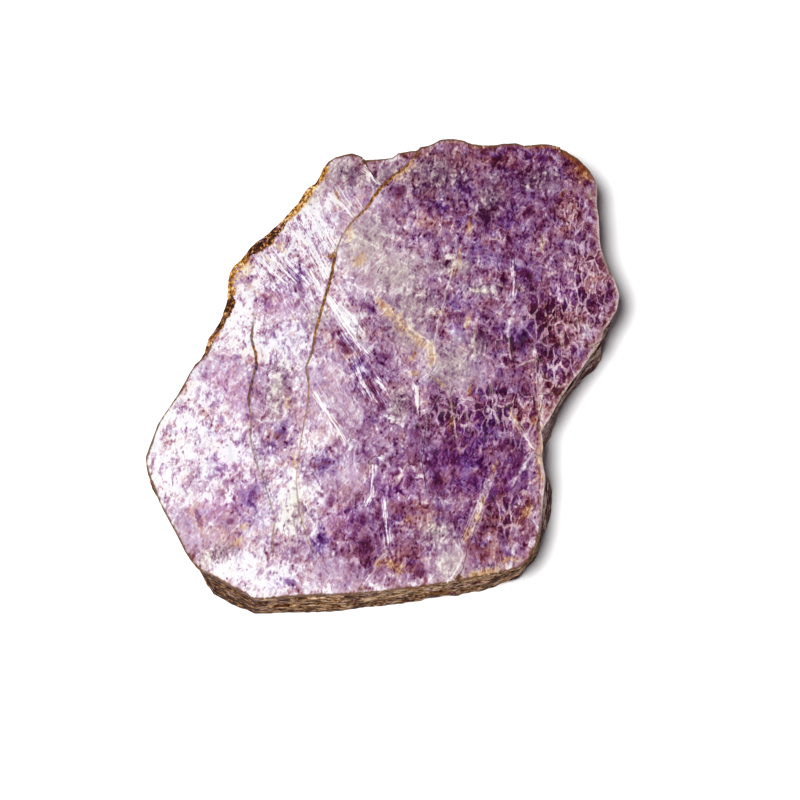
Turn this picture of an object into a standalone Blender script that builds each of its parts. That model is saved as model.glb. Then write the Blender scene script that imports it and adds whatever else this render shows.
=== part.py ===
"""A book of lepidolite, the purple lithium mica: one flat cleaved slab about 65 by 69 by 7 mm.

The slab is grown as one piece, so it is one closed solid. It lies flat on its lower cleavage face.
Its rim is a pile of sheets, each with a ragged edge of its own, and its upper face is broken by
cracks into plates that lie a fraction of a millimetre above or below each other.
X runs to the right, Y to the back, Z up; the origin is under the middle of the slab's box.
"""

import math
import random

import bmesh
import bpy
from mathutils import Vector, noise

MM = 0.001

# The sheets of the book, from the lowest up, in millimetres. Their sum is the slab's thickness
# under the loose flakes.
SHEETS = (0.95, 0.75, 0.6, 0.85, 0.7, 0.8, 0.6, 0.75, 0.7)
SHEET_GAP = 0.07
BOOK_TOP = sum(SHEETS)

# The rim seen from above, in millimetres, clockwise from the notch in the back left corner.
BACK_EDGE = (
    (-10.3, 27.5), (-9.2, 29.4), (-8.2, 30.8), (-7.0, 31.5), (-4.4, 32.2), (-3.5, 31.1),
    (-1.0, 31.2), (1.0, 31.5), (1.6, 32.2), (4.8, 32.8), (6.8, 33.5), (7.6, 34.1),
    (9.5, 34.4), (11.0, 34.1), (11.6, 33.5), (14.4, 33.2), (18.3, 33.7), (20.0, 33.1),
    (21.2, 33.5), (23.8, 33.4),
)
RIGHT_LOBE = (
    (25.3, 32.7), (27.2, 31.5), (28.7, 29.8), (29.9, 27.6), (29.9, 25.5), (29.6, 24.0),
    (29.9, 22.0), (29.9, 17.5), (30.5, 15.2), (31.7, 12.2), (32.4, 9.8), (32.0, 7.6),
    (30.8, 5.4), (30.0, 4.6), (29.7, 2.9),
)
RIGHT_WAIST = (
    (28.1, 0.7), (27.1, -1.0), (25.4, -3.2), (23.7, -5.9), (22.0, -9.0), (21.0, -10.5),
    (21.3, -12.6), (21.0, -14.2), (21.4, -17.0), (21.0, -20.3), (20.7, -24.0), (20.0, -26.7),
    (18.9, -28.9), (17.9, -29.9),
)
FRONT_EDGE = (
    (15.5, -30.5), (12.0, -31.3), (8.0, -32.1), (4.0, -32.7), (0.0, -33.2), (-4.0, -33.6),
    (-9.0, -33.7), (-13.0, -34.0), (-17.2, -34.4), (-19.0, -33.2), (-21.0, -32.2),
    (-22.6, -31.2), (-24.8, -30.2),
)
LEFT_EDGE = (
    (-26.3, -28.3), (-28.1, -24.8), (-30.0, -21.4), (-31.1, -18.8), (-32.2, -16.3),
    (-32.4, -14.2), (-31.7, -12.0), (-30.9, -9.3), (-29.8, -7.5), (-28.4, -5.2),
    (-27.1, -2.5), (-26.3, -0.7), (-25.1, 1.0), (-24.7, 3.7), (-23.4, 5.6), (-22.5, 8.0),
    (-22.0, 10.0), (-22.3, 11.5), (-21.6, 13.8), (-20.4, 15.6), (-19.1, 17.8),
    (-17.2, 19.2), (-15.7, 20.7), (-14.5, 22.3), (-12.8, 24.4), (-11.4, 26.8),
)
OUTLINE = BACK_EDGE + RIGHT_LOBE + RIGHT_WAIST + FRONT_EDGE + LEFT_EDGE
OUTLINE_STEP = 1.25

# Where the pile of sheets leans in or out: the place on the rim, how far along the rim it reaches,
# the shift of the lowest sheet and the shift of the topmost one, in millimetres, outwards positive.
RIM_LEANS = (
    ((0.0, -33.0), 11.0, -0.75, 0.0),
    ((10.0, -32.0), 8.0, -0.7, 0.0),
    ((18.0, -29.5), 5.0, -1.0, 0.0),
    ((-12.0, -34.0), 6.0, -0.35, 0.0),
    ((-17.2, -34.4), 4.0, -0.3, 0.0),
    ((-26.0, -28.5), 4.5, -1.4, 0.0),
    ((-29.5, -22.5), 9.0, -1.2, 0.0),
    ((-30.0, -8.0), 9.0, -0.6, 0.0),
    ((-23.5, 5.5), 8.0, 0.2, -0.8),
    ((-17.0, 19.0), 7.0, 0.2, -1.1),
    ((-12.0, 25.5), 5.5, 0.2, -0.8),
    ((8.0, 34.0), 12.0, -0.5, 0.0),
    ((22.0, -18.0), 6.5, 1.1, 0.0),
    ((30.0, 22.0), 12.0, -0.7, 0.0),
    ((32.0, 9.0), 7.0, -0.9, 0.0),
    ((26.0, -3.0), 7.0, -0.8, 0.0),
)
TOP_SHEET = (0.887, 0.895)
LEAN_CORE = 0.25
# How ragged the sheets' edges are: fine teeth, and longer tongues and bays of a whole sheet.
TOOTH_DEPTH = 0.22
TOOTH_LENGTH = 1.9
TOOTH_SHIFT = 3.7
TONGUE_DEPTH = 0.38
TONGUE_LENGTH = 6.5
TONGUE_SHIFT = 5.3

# The cracks that run through the upper sheets, as points in millimetres.
LONG_CRACK = (
    (5.4, 34.5), (4.4, 32.1), (2.8, 29.9), (0.9, 28.3), (-0.8, 26.5), (-1.9, 24.7),
    (-3.0, 23.0), (-4.9, 21.0), (-6.2, 18.8), (-7.1, 16.3), (-7.5, 13.5), (-8.2, 10.5),
    (-9.0, 7.2), (-9.7, 4.3), (-10.1, 1.3), (-11.0, -1.2), (-10.5, -3.5), (-10.7, -7.0),
    (-11.3, -10.6), (-11.8, -14.5), (-12.0, -18.0), (-11.5, -22.0), (-10.2, -26.4),
    (-8.2, -29.8), (-6.9, -31.4),
)
LEFT_CRACK = (
    (-18.0, 7.6), (-18.4, 5.0), (-18.6, 3.0), (-17.9, 1.0), (-17.8, -0.8), (-18.4, -3.4),
    (-18.8, -6.0), (-18.3, -8.4), (-18.4, -11.2), (-17.6, -14.8), (-16.4, -17.8),
    (-15.4, -20.8), (-14.7, -23.2), (-15.1, -26.4), (-14.8, -29.6),
)
RAY_CRACK = ((-8.9, 9.9), (-7.3, 8.0), (-5.6, 5.2), (-4.1, 2.9), (-1.9, 0.3))
WHITE_CRACK = (
    (-0.3, -19.4), (0.0, -22.0), (0.1, -24.5), (0.5, -27.2), (-0.9, -29.2), (-1.6, -31.0),
    (-3.4, -32.8),
)
BAR_CRACK = ((6.4, -1.2), (4.7, -3.0), (4.9, -6.2), (5.4, -9.2))
CORNER_CRACK = ((17.2, -8.8), (20.1, -13.5), (17.6, -17.3), (16.0, -19.2))
CRACKS = (
    ("long_crack", LONG_CRACK, 0.34),
    ("left_crack", LEFT_CRACK, 0.30),
    ("ray_crack", RAY_CRACK, 0.20),
    ("white_crack", WHITE_CRACK, 0.22),
    ("bar_crack", BAR_CRACK, 0.22),
    ("corner_crack", CORNER_CRACK, 0.22),
)
CRACK_END_SIZE = 0.45
CRACK_RAISE = 0.05
CAP_WELD = 0.01

# The plates that have lost a sheet or two: a name, how much lower they lie, and their outline.
LOW_PLATES = (
    ("notch_plate", 0.42, (
        (-4.0, 33.4), (-3.2, 30.4), (-1.9, 28.0), (-0.8, 26.5), (0.9, 28.3), (2.8, 29.9),
        (4.4, 32.1), (5.4, 34.8),
    )),
    ("middle_plate", 0.28, (
        (-17.8, -0.8), (-16.3, -1.9), (-14.6, -1.0), (-13.2, -1.5), (-12.1, -3.6), (-10.5, -3.5),
        (-10.7, -7.0), (-11.3, -10.6), (-11.8, -14.5), (-12.0, -18.0), (-13.6, -19.4),
        (-15.4, -20.8), (-16.4, -17.8), (-17.6, -14.8), (-18.4, -11.2), (-18.3, -8.4),
        (-18.8, -6.0), (-18.4, -3.4),
    )),
    ("wedge_plate", 0.22, (
        (-2.6, 10.2), (0.3, 8.1), (1.8, 5.7), (3.3, 3.5), (5.6, 2.9), (6.9, 0.6), (6.4, -1.2),
        (4.7, -3.0), (2.2, -1.4), (0.1, -1.6), (-1.9, 0.3), (-4.1, 2.9), (-3.9, 6.4),
    )),
    ("violet_plate", 0.36, (
        (5.4, -9.2), (7.2, -5.6), (10.4, -6.0), (13.4, -6.6), (16.2, -8.2), (15.6, -11.8),
        (16.2, -14.2), (15.2, -16.8), (13.2, -18.2), (12.2, -20.4), (8.6, -21.0), (5.4, -19.4),
        (4.8, -14.4),
    )),
    ("corner_plate", 0.30, (
        (20.1, -13.5), (17.6, -17.3), (16.0, -19.2), (13.4, -21.6), (12.0, -24.2), (10.8, -27.0),
        (10.2, -29.8), (8.6, -33.4), (16.0, -33.6), (22.6, -28.0), (23.4, -16.0),
    )),
    ("shoulder_plate", 0.40, (
        (24.2, 35.0), (25.2, 31.4), (25.8, 29.0), (27.4, 27.6), (28.6, 25.2), (31.4, 24.4),
        (31.4, 35.0),
    )),
    ("right_plate", 0.24, (
        (21.2, 3.2), (23.4, 1.4), (25.0, 2.8), (28.6, 2.2), (31.8, 4.4), (30.0, -3.0),
        (22.4, -12.0), (20.6, -9.4), (21.6, -4.0),
    )),
)

# Loose flakes on the upper face and pits between them, in the scaly part right of the long crack.
SCALY_FIELD = (
    (-1.0, 25.0), (4.5, 30.5), (11.0, 32.5), (24.0, 31.5), (28.5, 27.0), (28.5, 16.0),
    (30.5, 10.0), (28.0, 3.0), (20.5, -9.0), (19.5, -25.0), (16.0, -28.5), (-2.0, -31.5),
    (-9.0, -24.0), (-9.5, -8.0), (-5.5, -1.0), (0.0, 8.0), (-4.0, 16.0),
)
FLAKE_COUNT = 34
FLAKE_SIZE = (1.3, 3.4)
FLAKE_RISE = (0.1, 0.28)
PIT_COUNT = 16
PIT_SIZE = (0.7, 1.5)
PIT_DEPTH = (0.15, 0.35)
CORNERS = (5, 7)
CORNER_JITTER = 0.28
FLAKE_STRETCH = (0.55, 1.0)
SEED = 17

# Patches where the lowest sheet has peeled off the underside, with their depth.
PEELED_PATCHES = (
    ("peeled_front", 0.3, (
        (-36.0, -14.0), (-20.0, -16.5), (-15.0, -23.0), (-8.0, -26.0), (2.0, -28.5),
        (4.0, -38.0), (-36.0, -38.0),
    )),
    ("peeled_back", 0.26, (
        (9.0, 38.0), (11.0, 27.0), (17.0, 22.0), (24.0, 20.5), (27.0, 13.0), (36.0, 12.0),
        (36.0, 38.0),
    )),
)

# How far a cutter reaches past the face that it cuts, and a flake into the slab below it.
CUT_MARGIN = 1.0
FLAKE_ROOT = 0.9

MICA_COLOR = (0.33, 0.19, 0.33, 1.0)
MICA_ROUGHNESS = 0.38


def clear_scene():
    for obj in list(bpy.data.objects):
        bpy.data.objects.remove(obj, do_unlink=True)


def new_collection(name, helper=False):
    collection = bpy.data.collections.new(name)
    bpy.context.scene.collection.children.link(collection)
    collection.hide_render = helper
    return collection


def link_object(name, mesh, collection, helper=False):
    obj = bpy.data.objects.new(name, mesh)
    collection.objects.link(obj)
    if helper:
        obj.hide_render = True
        obj.display_type = "WIRE"
    return obj


def mesh_in_metres(name, bm):
    """A mesh in metres from a bmesh drawn in millimetres."""
    bmesh.ops.scale(bm, vec=Vector((MM, MM, MM)), verts=bm.verts)
    bmesh.ops.recalc_face_normals(bm, faces=bm.faces)
    mesh = bpy.data.meshes.new(name)
    bm.to_mesh(mesh)
    bm.free()
    return mesh


def inside(point, polygon):
    """Whether a point lies inside a closed line."""
    crossings = 0
    for (ax, ay), (bx, by) in zip(polygon, polygon[1:] + polygon[:1]):
        if (ay > point[1]) != (by > point[1]):
            crossings += point[0] < ax + (point[1] - ay) * (bx - ax) / (by - ay)
    return crossings % 2 == 1


def resample(points, step):
    """Points at an even spacing along the closed line through the given ones."""
    ends = [Vector(point) for point in points]
    lengths = [(b - a).length for a, b in zip(ends, ends[1:] + ends[:1])]
    count = round(sum(lengths) / step)
    spacing = sum(lengths) / count
    result = []
    side = 0
    start = 0.0
    for i in range(count):
        while start + lengths[side] < i * spacing:
            start += lengths[side]
            side += 1
        share = (i * spacing - start) / lengths[side]
        result.append(ends[side].lerp(ends[(side + 1) % len(ends)], share))
    return result, spacing


def outward_normals(rim):
    """Unit vectors out of the clockwise rim, each taken across its two neighbours."""
    normals = []
    for i in range(len(rim)):
        along = (rim[(i + 1) % len(rim)] - rim[i - 1]).normalized()
        normals.append(Vector((-along.y, along.x)))
    return normals


def smooth_share(low, high, value):
    share = min(max((value - low) / (high - low), 0.0), 1.0)
    return share * share * (3.0 - 2.0 * share)


def lean(point, height_share):
    """How far the pile of sheets leans out at a point of the rim and a share of the height."""
    high_share = smooth_share(*TOP_SHEET, height_share)
    total = 0.0
    for place, reach, low_shift, high_shift in RIM_LEANS:
        nearness = 1.0 - smooth_share(LEAN_CORE * reach, reach, (point - Vector(place)).length)
        total += nearness * (low_shift * (1.0 - height_share) + high_shift * high_share)
    return total


def raggedness(distance, sheet):
    """Teeth and tongues of one sheet's edge, inwards and outwards. The top sheet keeps the rim."""
    if sheet == len(SHEETS) - 1:
        return 0.0
    tooth = noise.noise(Vector((distance / TOOTH_LENGTH, TOOTH_SHIFT * (sheet + 0.5), 0.0)))
    tongue = noise.noise(Vector((distance / TONGUE_LENGTH, TONGUE_SHIFT * (sheet + 0.5), 1.0)))
    return 0.5 * (TOOTH_DEPTH * tooth + TONGUE_DEPTH * tongue)


def sheet_ring(rim, spacing, sheet, height):
    """The edge of one sheet at one height."""
    ring = []
    for i, (point, normal) in enumerate(zip(rim, outward_normals(rim))):
        shift = lean(point, height / BOOK_TOP) + raggedness(i * spacing, sheet)
        edge = point + normal * shift
        ring.append(Vector((edge.x, edge.y, height)))
    return ring


def sheet_levels():
    """The sheet and the height of each ring of the rim, from the lowest up, without the first."""
    levels = []
    base = 0.0
    for sheet, thickness in enumerate(SHEETS):
        levels.append((sheet, base))
        levels.append((sheet, base + thickness - SHEET_GAP))
        base += thickness
    levels[-1] = (len(SHEETS) - 1, BOOK_TOP)
    return levels


def build_book(collection):
    """The pile of sheets: the lowest face, extruded up ring by ring to the upper face."""
    rim, spacing = resample(OUTLINE, OUTLINE_STEP)
    levels = sheet_levels()
    bm = bmesh.new()
    upper = bm.faces.new([bm.verts.new(point) for point in sheet_ring(rim, spacing, *levels[0])])
    for level in levels[1:]:
        below = upper
        grown = bmesh.ops.extrude_face_region(bm, geom=[below], use_keep_orig=True)
        upper = next(item for item in grown["geom"] if isinstance(item, bmesh.types.BMFace))
        for vert, place in zip(upper.verts, sheet_ring(rim, spacing, *level)):
            vert.co = place
        if level != levels[1]:
            bmesh.ops.delete(bm, geom=[below], context="FACES_ONLY")
    return link_object("mica_crystal", mesh_in_metres("mica_crystal", bm), collection)


def add_prism(name, polygon, low, high, collection):
    """An upright prism over a polygon, between two heights in millimetres."""
    bm = bmesh.new()
    floor = bm.faces.new([bm.verts.new((x, y, low)) for x, y in polygon])
    grown = bmesh.ops.extrude_face_region(bm, geom=[floor], use_keep_orig=True)
    lifted = [item for item in grown["geom"] if isinstance(item, bmesh.types.BMVert)]
    bmesh.ops.translate(bm, vec=Vector((0.0, 0.0, high - low)), verts=lifted)
    return link_object(name, mesh_in_metres(name, bm), collection, helper=True)


def add_crack(name, path, radius, collection):
    """A tapering rod along a crack, which cuts a V-shaped groove where it is sunk to its middle."""
    curve = bpy.data.curves.new(name, "CURVE")
    curve.dimensions = "3D"
    curve.bevel_depth = radius * MM
    curve.bevel_resolution = 0
    curve.use_fill_caps = True
    spline = curve.splines.new("POLY")
    spline.points.add(len(path) - 1)
    for i, (point, (x, y)) in enumerate(zip(spline.points, path)):
        point.co = (x * MM, y * MM, (level_at((x, y)) + CRACK_RAISE) * MM, 1.0)
        point.radius = CRACK_END_SIZE if i in (0, len(path) - 1) else 1.0
    rod = bpy.data.objects.new(name + "_curve", curve)
    collection.objects.link(rod)
    evaluated = rod.evaluated_get(bpy.context.evaluated_depsgraph_get())
    mesh = bpy.data.meshes.new_from_object(evaluated)
    bm = bmesh.new()
    bm.from_mesh(mesh)
    bmesh.ops.remove_doubles(bm, verts=bm.verts, dist=CAP_WELD * MM)
    bmesh.ops.recalc_face_normals(bm, faces=bm.faces)
    bm.to_mesh(mesh)
    bm.free()
    link_object(name, mesh, collection, helper=True).matrix_world = rod.matrix_world
    bpy.data.objects.remove(rod)


def level_at(point):
    """The height of the upper face at a point, in millimetres."""
    drops = [drop for _, drop, polygon in LOW_PLATES if inside(point, polygon)]
    return BOOK_TOP - max(drops, default=0.0)


def ragged_polygon(dice, centre, size):
    """A flake's outline: a stretched polygon with uneven corners."""
    corners = dice.randint(*CORNERS)
    turn = dice.uniform(0.0, math.tau)
    stretch = dice.uniform(*FLAKE_STRETCH)
    points = []
    for i in range(corners):
        angle = math.tau * (i + dice.uniform(-CORNER_JITTER, CORNER_JITTER)) / corners
        reach = size * dice.uniform(1.0 - CORNER_JITTER, 1.0)
        x, y = reach * math.cos(angle), reach * stretch * math.sin(angle)
        points.append((
            centre[0] + x * math.cos(turn) - y * math.sin(turn),
            centre[1] + x * math.sin(turn) + y * math.cos(turn),
        ))
    return points


def scaly_patch(dice, sizes):
    """A random place in the scaly field and a flake's outline round it, all inside the field."""
    xs, ys = zip(*SCALY_FIELD)
    while True:
        spot = (dice.uniform(min(xs), max(xs)), dice.uniform(min(ys), max(ys)))
        polygon = ragged_polygon(dice, spot, dice.uniform(*sizes))
        if all(inside(corner, SCALY_FIELD) for corner in [spot] + polygon):
            return spot, polygon


def add_flakes(collection):
    dice = random.Random(SEED)
    for i in range(FLAKE_COUNT):
        spot, polygon = scaly_patch(dice, FLAKE_SIZE)
        top = level_at(spot) + dice.uniform(*FLAKE_RISE)
        add_prism(f"flake_{i:02d}", polygon, BOOK_TOP - FLAKE_ROOT, top, collection)


def add_pits(collection):
    dice = random.Random(SEED + 1)
    for i in range(PIT_COUNT):
        spot, polygon = scaly_patch(dice, PIT_SIZE)
        floor = level_at(spot) - dice.uniform(*PIT_DEPTH)
        add_prism(f"pit_{i:02d}", polygon, floor, BOOK_TOP + CUT_MARGIN, collection)


def add_boolean(obj, operation, collection):
    modifier = obj.modifiers.new(collection.name, "BOOLEAN")
    modifier.operation = operation
    modifier.operand_type = "COLLECTION"
    modifier.collection = collection
    modifier.solver = "EXACT"


def mica_material():
    material = bpy.data.materials.new("lepidolite")
    material.use_nodes = True
    shader = material.node_tree.nodes["Principled BSDF"]
    shader.inputs["Base Color"].default_value = MICA_COLOR
    shader.inputs["Roughness"].default_value = MICA_ROUGHNESS
    shader.inputs["Metallic"].default_value = 0.0
    return material


def build():
    clear_scene()
    book = build_book(new_collection("mica_crystal_parts"))
    book.data.materials.append(mica_material())

    lost_sheets = new_collection("lost_sheets", helper=True)
    for name, drop, polygon in LOW_PLATES:
        add_prism(name, polygon, BOOK_TOP - drop, BOOK_TOP + CUT_MARGIN, lost_sheets)
    for name, depth, polygon in PEELED_PATCHES:
        add_prism(name, polygon, -CUT_MARGIN, depth, lost_sheets)
    add_boolean(book, "DIFFERENCE", lost_sheets)

    flakes = new_collection("flakes", helper=True)
    add_flakes(flakes)
    add_boolean(book, "UNION", flakes)

    grooves = new_collection("grooves", helper=True)
    for name, path, radius in CRACKS:
        add_crack(name, path, radius, grooves)
    add_pits(grooves)
    add_boolean(book, "DIFFERENCE", grooves)


build()
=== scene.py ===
# %% [markdown]
# # A slab of lepidolite
# Lepidolite is the purple lithium mica. A crystal of it is a book of thin sheets that split apart
# along one flat direction, so a specimen is a slab: a broad pearly face above, the same face
# below, and a ragged brown edge of stacked sheets all round. This notebook dresses the slab that
# the model frame brings in: first the fine shape of its face and edge, then its colours.

# %% Load the frame
import math

import bmesh
import bpy
import numpy as np
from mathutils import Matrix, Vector, kdtree, noise


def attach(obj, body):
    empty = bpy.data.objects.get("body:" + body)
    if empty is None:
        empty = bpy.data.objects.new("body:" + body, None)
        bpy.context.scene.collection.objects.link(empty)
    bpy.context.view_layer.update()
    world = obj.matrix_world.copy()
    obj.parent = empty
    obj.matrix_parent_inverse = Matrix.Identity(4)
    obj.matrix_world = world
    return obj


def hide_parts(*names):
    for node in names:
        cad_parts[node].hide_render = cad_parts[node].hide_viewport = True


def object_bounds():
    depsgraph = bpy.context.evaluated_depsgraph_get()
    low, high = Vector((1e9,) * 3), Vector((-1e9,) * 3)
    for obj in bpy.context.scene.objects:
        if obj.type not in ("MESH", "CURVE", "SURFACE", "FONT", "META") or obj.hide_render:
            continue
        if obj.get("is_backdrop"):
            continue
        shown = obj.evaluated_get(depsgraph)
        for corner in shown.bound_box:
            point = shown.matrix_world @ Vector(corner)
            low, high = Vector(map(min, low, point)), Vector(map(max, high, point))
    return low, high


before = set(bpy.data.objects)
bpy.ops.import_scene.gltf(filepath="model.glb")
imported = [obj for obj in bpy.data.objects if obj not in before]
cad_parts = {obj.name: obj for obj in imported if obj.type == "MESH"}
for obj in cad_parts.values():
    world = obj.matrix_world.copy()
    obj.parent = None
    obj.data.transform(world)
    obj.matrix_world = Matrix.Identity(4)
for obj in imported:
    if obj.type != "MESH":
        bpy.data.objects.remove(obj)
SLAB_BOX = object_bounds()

MM = 0.001
slab_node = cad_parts["mica_crystal"]
print("the slab's box, mm:", [[round(v / MM, 2) for v in corner] for corner in SLAB_BOX])

# %% [markdown]
# ## The camera
# The slab is seen from above and a little from the front, so that a thin band of its front edge
# shows under the face. A long lens from a third of a metre keeps the outline almost undistorted.
# Depth of field stays off, because other views move this camera.

# %% Set the camera
LENS = 100.0
CAMERA_DISTANCE = 310.0 * MM
CAMERA_ELEVATION = math.radians(68.0)
LOOK_AT = Vector((1.9, -3.3, 0.0)) * MM

camera_data = bpy.data.cameras.new("camera")
camera_data.lens = LENS
camera_data.clip_start = 0.01
camera = bpy.data.objects.new("camera", camera_data)
backwards = Vector((0.0, -math.cos(CAMERA_ELEVATION), math.sin(CAMERA_ELEVATION)))
camera.location = LOOK_AT + backwards * CAMERA_DISTANCE
camera.rotation_euler = backwards.to_track_quat("Z", "Y").to_euler()
bpy.context.scene.collection.objects.link(camera)
bpy.context.scene.camera = camera
print("camera at", [round(v / MM, 1) for v in camera.location], "mm")

# %% [markdown]
# ## The fine mesh
# The frame's slab has the large forms: sheets, plates, cracks and flakes. A mica face is also
# scaly at half a millimetre, and a displacement needs points to move. One way would be a remesh,
# but that rounds off the thin steps that make mica look like mica. Cutting the slab along evenly
# spaced planes keeps every step and crack where it is, and only adds points between them. Every
# face is first told to be face, edge or underside by its slope and height. The underside rests
# on the table, so it gets planes twice as far apart.

# %% Cut the slab along evenly spaced planes
FACE, EDGE, UNDERSIDE = 0, 1, 2
QUICK_FACTOR = 1.0
PLANE_GAP = 0.31 * MM * QUICK_FACTOR
EDGE_PLANE_GAP = 0.4 * MM
UNDERSIDE_GAPS = 2
WELD = 0.0001 * MM
PLANE_SNAP = 0.001 * MM
FLATTEN_ANGLE = math.radians(2.5)
LEVEL_SLOPE = 0.7
FACE_LOWEST = 6.1 * MM
UNDERSIDE_HIGHEST = 0.5 * MM


def cut_along(mesh, axis, gap, wanted, first, last):
    """Cuts the faces of the wanted kinds at every multiple of the gap along one axis."""
    across = Vector([float(i == axis) for i in range(3)])
    for step in range(math.ceil(first / gap), math.floor(last / gap) + 1):
        faces = [face for face in mesh.faces if face.material_index in wanted]
        if FACE in wanted:
            geometry = faces + mesh.edges[:] + mesh.verts[:]
        else:
            geometry = faces + list({edge for face in faces for edge in face.edges})
            geometry += list({vert for face in faces for vert in face.verts})
        bmesh.ops.bisect_plane(
            mesh, geom=geometry, dist=PLANE_SNAP, plane_co=across * (step * gap), plane_no=across
        )


def kind_of(face):
    if face.normal.z < -LEVEL_SLOPE and face.calc_center_median().z < UNDERSIDE_HIGHEST:
        return UNDERSIDE
    if face.normal.z > LEVEL_SLOPE and face.calc_center_median().z > FACE_LOWEST:
        return FACE
    return EDGE


fine = bmesh.new()
fine.from_mesh(slab_node.data)
bmesh.ops.remove_doubles(fine, verts=fine.verts, dist=WELD)
bmesh.ops.dissolve_limit(fine, angle_limit=FLATTEN_ANGLE, verts=fine.verts, edges=fine.edges)
for face in fine.faces:
    face.material_index = kind_of(face)
(low_x, low_y, low_z), (high_x, high_y, high_z) = SLAB_BOX
cut_along(fine, 2, EDGE_PLANE_GAP, {EDGE}, low_z + EDGE_PLANE_GAP, high_z)
for gap, wanted in ((PLANE_GAP, {FACE, EDGE}), (PLANE_GAP * UNDERSIDE_GAPS, {UNDERSIDE})):
    cut_along(fine, 0, gap, wanted, low_x, high_x)
    cut_along(fine, 1, gap, wanted, low_y, high_y)
print("fine mesh:", len(fine.verts), "points,",
      sum(len(face.verts) - 2 for face in fine.faces), "triangles")

# %% [markdown]
# ## Where the rim is
# The topmost sheet's lower edge is a closed ring of points at a known height. The distance to it
# tells the rim from the inside of the face: steps between plates belong to the face, while the
# walls at the ring belong to the ragged edge and take its brown finish.

# %% Measure the distance to the rim
RIM_RING_HEIGHT = 6.0 * MM
PIT_LOWEST = 5.7 * MM
RIM_WIDTH = 0.75 * MM
LEDGE_WIDTH = 1.7 * MM


def tree_over(numbered_places):
    """A search tree over numbered places, as seen from above."""
    tree = kdtree.KDTree(len(numbered_places))
    for number, place in numbered_places:
        tree.insert((place[0], place[1], 0.0), int(number))
    tree.balance()
    return tree


ring_places = [v.co for v in fine.verts if abs(v.co.z - RIM_RING_HEIGHT) < PLANE_SNAP]
rim_tree = tree_over(list(enumerate(ring_places)))
for face in fine.faces:
    centre = face.calc_center_median()
    if face.material_index == EDGE and centre.z > PIT_LOWEST:
        inwards = rim_tree.find((centre.x, centre.y, 0.0))[2]
        if inwards > (RIM_WIDTH if centre.z > RIM_RING_HEIGHT else LEDGE_WIDTH):
            face.material_index = FACE
print("ring of", len(ring_places), "points")

# %% [markdown]
# ## Lines and patches drawn on the face
# What makes this slab this slab are marks at fixed places: two brown cracks that run from back to
# front, white rays where sheets have lifted, pale veins, dark flecks of clear purple mica, and
# stains of iron. Each is placed here, in millimetres on the face. Lines are kept as points.
# Patches are ellipses: x, y, half length, half width, and turn in degrees.

# %% The lines
LONG_CRACK = (
    (5.4, 34.5), (4.4, 32.1), (2.8, 29.9), (0.9, 28.3), (-0.8, 26.5), (-1.9, 24.7), (-3, 23),
    (-4.9, 21), (-6.2, 18.8), (-7.1, 16.3), (-7.5, 13.5), (-8.2, 10.5), (-9, 7.2), (-9.7, 4.3),
    (-10.1, 1.3), (-11, -1.2), (-10.5, -3.5), (-10.7, -7), (-11.3, -10.6), (-11.8, -14.5),
    (-12, -18), (-11.5, -22), (-10.2, -26.4), (-8.2, -29.8), (-6.9, -31.4),
)
LEFT_CRACK = (
    (-18, 7.6), (-18.4, 5), (-18.6, 3), (-17.9, 1), (-17.8, -0.8), (-18.4, -3.4), (-18.8, -6),
    (-18.3, -8.4), (-18.4, -11.2), (-17.6, -14.8), (-16.4, -17.8), (-15.4, -20.8), (-14.7, -23.2),
    (-15.1, -26.4), (-14.8, -29.6),
)
CRACK_FORK = ((-8.2, 15.5), (-7.1, 16.5))
CRACKS = (LONG_CRACK, LEFT_CRACK, CRACK_FORK)

RAYS = (
    ((-8.4, 10.2), (-7.4, 8), (-6.2, 5.6), (-4.6, 3.2), (-3.3, 1.8), (-1.9, 0.3)),
    ((-7.6, 9.4), (-6, 6.2), (-4.2, 3.6)),
    ((-6.2, 8.2), (-4.8, 6.6), (-3.2, 4.2)),
    ((-10.3, 23.2), (-9, 21), (-8, 18.4), (-7.4, 17.2)),
    ((-8.4, 25.6), (-6.4, 23.8), (-4.8, 21.8)),
    ((-11.6, 24), (-10.2, 21), (-8.6, 17.8), (-7.6, 16)),
    ((-12.8, 20.2), (-11.2, 17.6), (-9.6, 14.8), (-8.2, 11.8)),
    ((-11.5, 19.4), (-10, 16.6), (-8.4, 13.4)),
    ((-16.4, 16.2), (-14.2, 13.4), (-12.4, 11.4)),
    ((-17.6, 15.6), (-15.8, 13.2), (-13.6, 11.2)),
    ((-14.2, 15.6), (-12.6, 13.6), (-10.6, 11.2)),
    ((-10.8, 14), (-9.8, 11.8), (-8.8, 9.9)),
    ((-3.4, 29.8), (-2, 28.2), (-0.8, 27)),
    ((-4, -0.9), (-3, -3.9), (-2, -5.9)),
    ((-1.6, -2.7), (0.2, -4.6)),
    ((-0.1, -19.8), (0, -22.2), (0.1, -24.8), (0.3, -27.2)),
    ((3.4, -3.2), (4.1, -3.9), (4.3, -5.8), (4.4, -8.2)),
    ((-9.8, -4.4), (-8.4, -7.2), (-6.6, -10.2), (-5.4, -12.4)),
    ((-3, -21.6), (-1.9, -19.6), (-1.8, -15.4)),
    ((24, 11.8), (24.1, 8.6)),
    ((17.8, 15.6), (17.7, 12), (17.6, 9.4)),
)
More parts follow.
